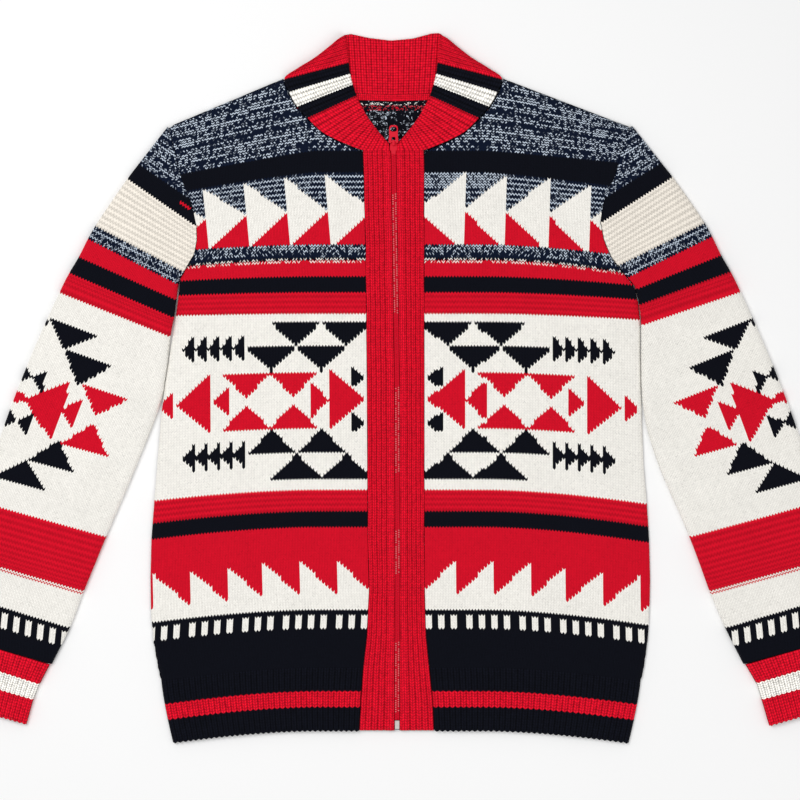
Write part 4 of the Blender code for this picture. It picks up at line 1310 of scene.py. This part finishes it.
def settings():
    """The group of sizes, and the knitted materials, made once."""
    scene = bpy.context.scene
    colours = scene.cardigan_colours
    made = {}
    kinds = (("stockinette_cotton", "plain"), ("ribbed_cotton", "rib"), ("reverse_cotton", "inside"))
    for name, kind in kinds:
        made[kind] = bpy.data.materials.get(name) or knitted(name, colours, kind)
    return scene.cardigan_sizes, made


class CARDIGAN_OT_stage(bpy.types.Operator):
    """Add the camera, soft light and floor"""

    bl_idname = "cardigan.stage"
    bl_label = "Stage"

    def execute(self, context):
        # The camera looks straight down on the picture's middle, from far enough to show no perspective.
        distance = 3.0
        picture_width = 0.852
        middle_of_loft = 0.006
        lens = bpy.data.cameras.new("camera")
        lens.sensor_width = 36
        lens.sensor_fit = "HORIZONTAL"
        lens.lens = lens.sensor_width * (distance - middle_of_loft) / picture_width
        camera = bpy.data.objects.new("camera", lens)
        camera.location = (0.0, (PICTURE_MIDDLE_Y - MIDDLE_Y) * MM, distance)
        context.scene.collection.objects.link(camera)
        context.scene.camera = camera
        context.scene.view_settings.view_transform = "Standard"

        for name, place, size, power in (
                ("key", (-0.9, 0.5, 2.0), 1.1, 23.0), ("fill", (1.2, -1.1, 1.9), 1.6, 13.5)):
            lamp = bpy.data.lights.new(name, "AREA")
            lamp.size = size
            lamp.energy = power
            holder = bpy.data.objects.new(name, lamp)
            holder.location = place
            holder.rotation_euler = (-Vector(place)).to_track_quat("-Z", "Y").to_euler()
            context.scene.collection.objects.link(holder)
        world = context.scene.world or bpy.data.worlds.new("World")
        context.scene.world = world
        world.use_nodes = True
        sky = world.node_tree.nodes["Background"]
        sky.inputs[0].default_value = (1, 1, 1, 1)
        sky.inputs[1].default_value = 0.48

        bpy.ops.mesh.primitive_plane_add(size=8, location=(0, 0, -0.0005))
        floor = bpy.context.object
        floor.name = "floor"
        floor.data.materials.append(paper_sweep("white_sweep"))
        return {"FINISHED"}


class CARDIGAN_OT_body(bpy.types.Operator):
    """Build the two fronts and the back"""

    bl_idname = "cardigan.body"
    bl_label = "Body"

    def execute(self, context):
        sizes, made = settings()
        for left in (True, False):
            piece = make_front(left, sizes, made["plain"])
        back = make_back(sizes, made["plain"], made["inside"])
        return {"FINISHED"}


class CARDIGAN_OT_sleeves(bpy.types.Operator):
    """Build the sleeves and cuffs"""

    bl_idname = "cardigan.sleeves"
    bl_label = "Sleeves and cuffs"

    def execute(self, context):
        sizes, made = settings()
        for left in (True, False):
            sleeve = make_sleeve(left, sizes, made["plain"])
            cuff = make_cuff(left, sizes, made["rib"])
        return {"FINISHED"}


class CARDIGAN_OT_ribs(bpy.types.Operator):
    """Build the ribbed hem, collar, zip bands and neck tape"""

    bl_idname = "cardigan.ribs"
    bl_label = "Hem, collar and bands"

    def execute(self, context):
        sizes, made = settings()
        for side in ("left", "right", "back"):
            hem = make_hem(side, sizes, made["rib"], made["plain"])
        collar = make_collar(sizes, made["rib"])
        for left in (True, False):
            band = make_band(left, sizes, made["rib"])
        tape = make_neck_tape(made["rib"])
        return {"FINISHED"}


class CARDIGAN_OT_zip(bpy.types.Operator):
    """Build the zip's teeth and paint its slider and tab"""

    bl_idname = "cardigan.zip"
    bl_label = "Zip"

    def execute(self, context):
        sizes = context.scene.cardigan_sizes
        colours = context.scene.cardigan_colours
        paint = enamel("enamelled_zinc", tuple(colours.paint), 0.16)
        # The second material is the pale caps on the teeth's tips, a painted highlight.
        make_teeth(sizes, enamel("moulded_acetal", tuple(colours.paint), 0.05),
                   enamel("painted_highlight_acetal", tuple(colours.worn), 0.05))
        make_tab(paint)
        dress_node("zip_slider", paint)
        dress_node("zip_box", enamel("moulded_box", tuple(colours.box)))
        tape = woven("woven_polyester", tuple(colours.paint))
        dress_node("zip_tape_left", tape)
        dress_node("zip_tape_right", tape)
        return {"FINISHED"}


class CARDIGAN_PT_panel(bpy.types.Panel):
    """Sidebar panel with the build steps"""

    bl_idname = "CARDIGAN_PT_panel"
    bl_label = "Cardigan"
    bl_space_type = "VIEW_3D"
    bl_region_type = "UI"
    bl_category = "Cardigan"

    def draw(self, context):
        for name in STEPS:
            self.layout.operator("cardigan." + name)
        for group in (context.scene.cardigan_sizes, context.scene.cardigan_colours):
            for name in group.__annotations__:
                self.layout.prop(group, name)


STEPS = ("stage", "body", "sleeves", "ribs", "zip")
CLASSES = (
    CardiganSizes,
    CardiganColours,
    CARDIGAN_OT_stage,
    CARDIGAN_OT_body,
    CARDIGAN_OT_sleeves,
    CARDIGAN_OT_ribs,
    CARDIGAN_OT_zip,
    CARDIGAN_PT_panel,
)


def register():
    """Register the classes and the scene's two groups."""
    for made in CLASSES:
        bpy.utils.register_class(made)
    bpy.types.Scene.cardigan_sizes = PointerProperty(type=CardiganSizes)
    bpy.types.Scene.cardigan_colours = PointerProperty(type=CardiganColours)


def unregister():
    """Remove the scene's two groups and the classes."""
    del bpy.types.Scene.cardigan_colours
    del bpy.types.Scene.cardigan_sizes
    for made in reversed(CLASSES):
        bpy.utils.unregister_class(made)


def main():
    """Build every piece in order."""
    register()
    for name in STEPS:
        getattr(bpy.ops.cardigan, name)()


if __name__ == "__main__":
    main()
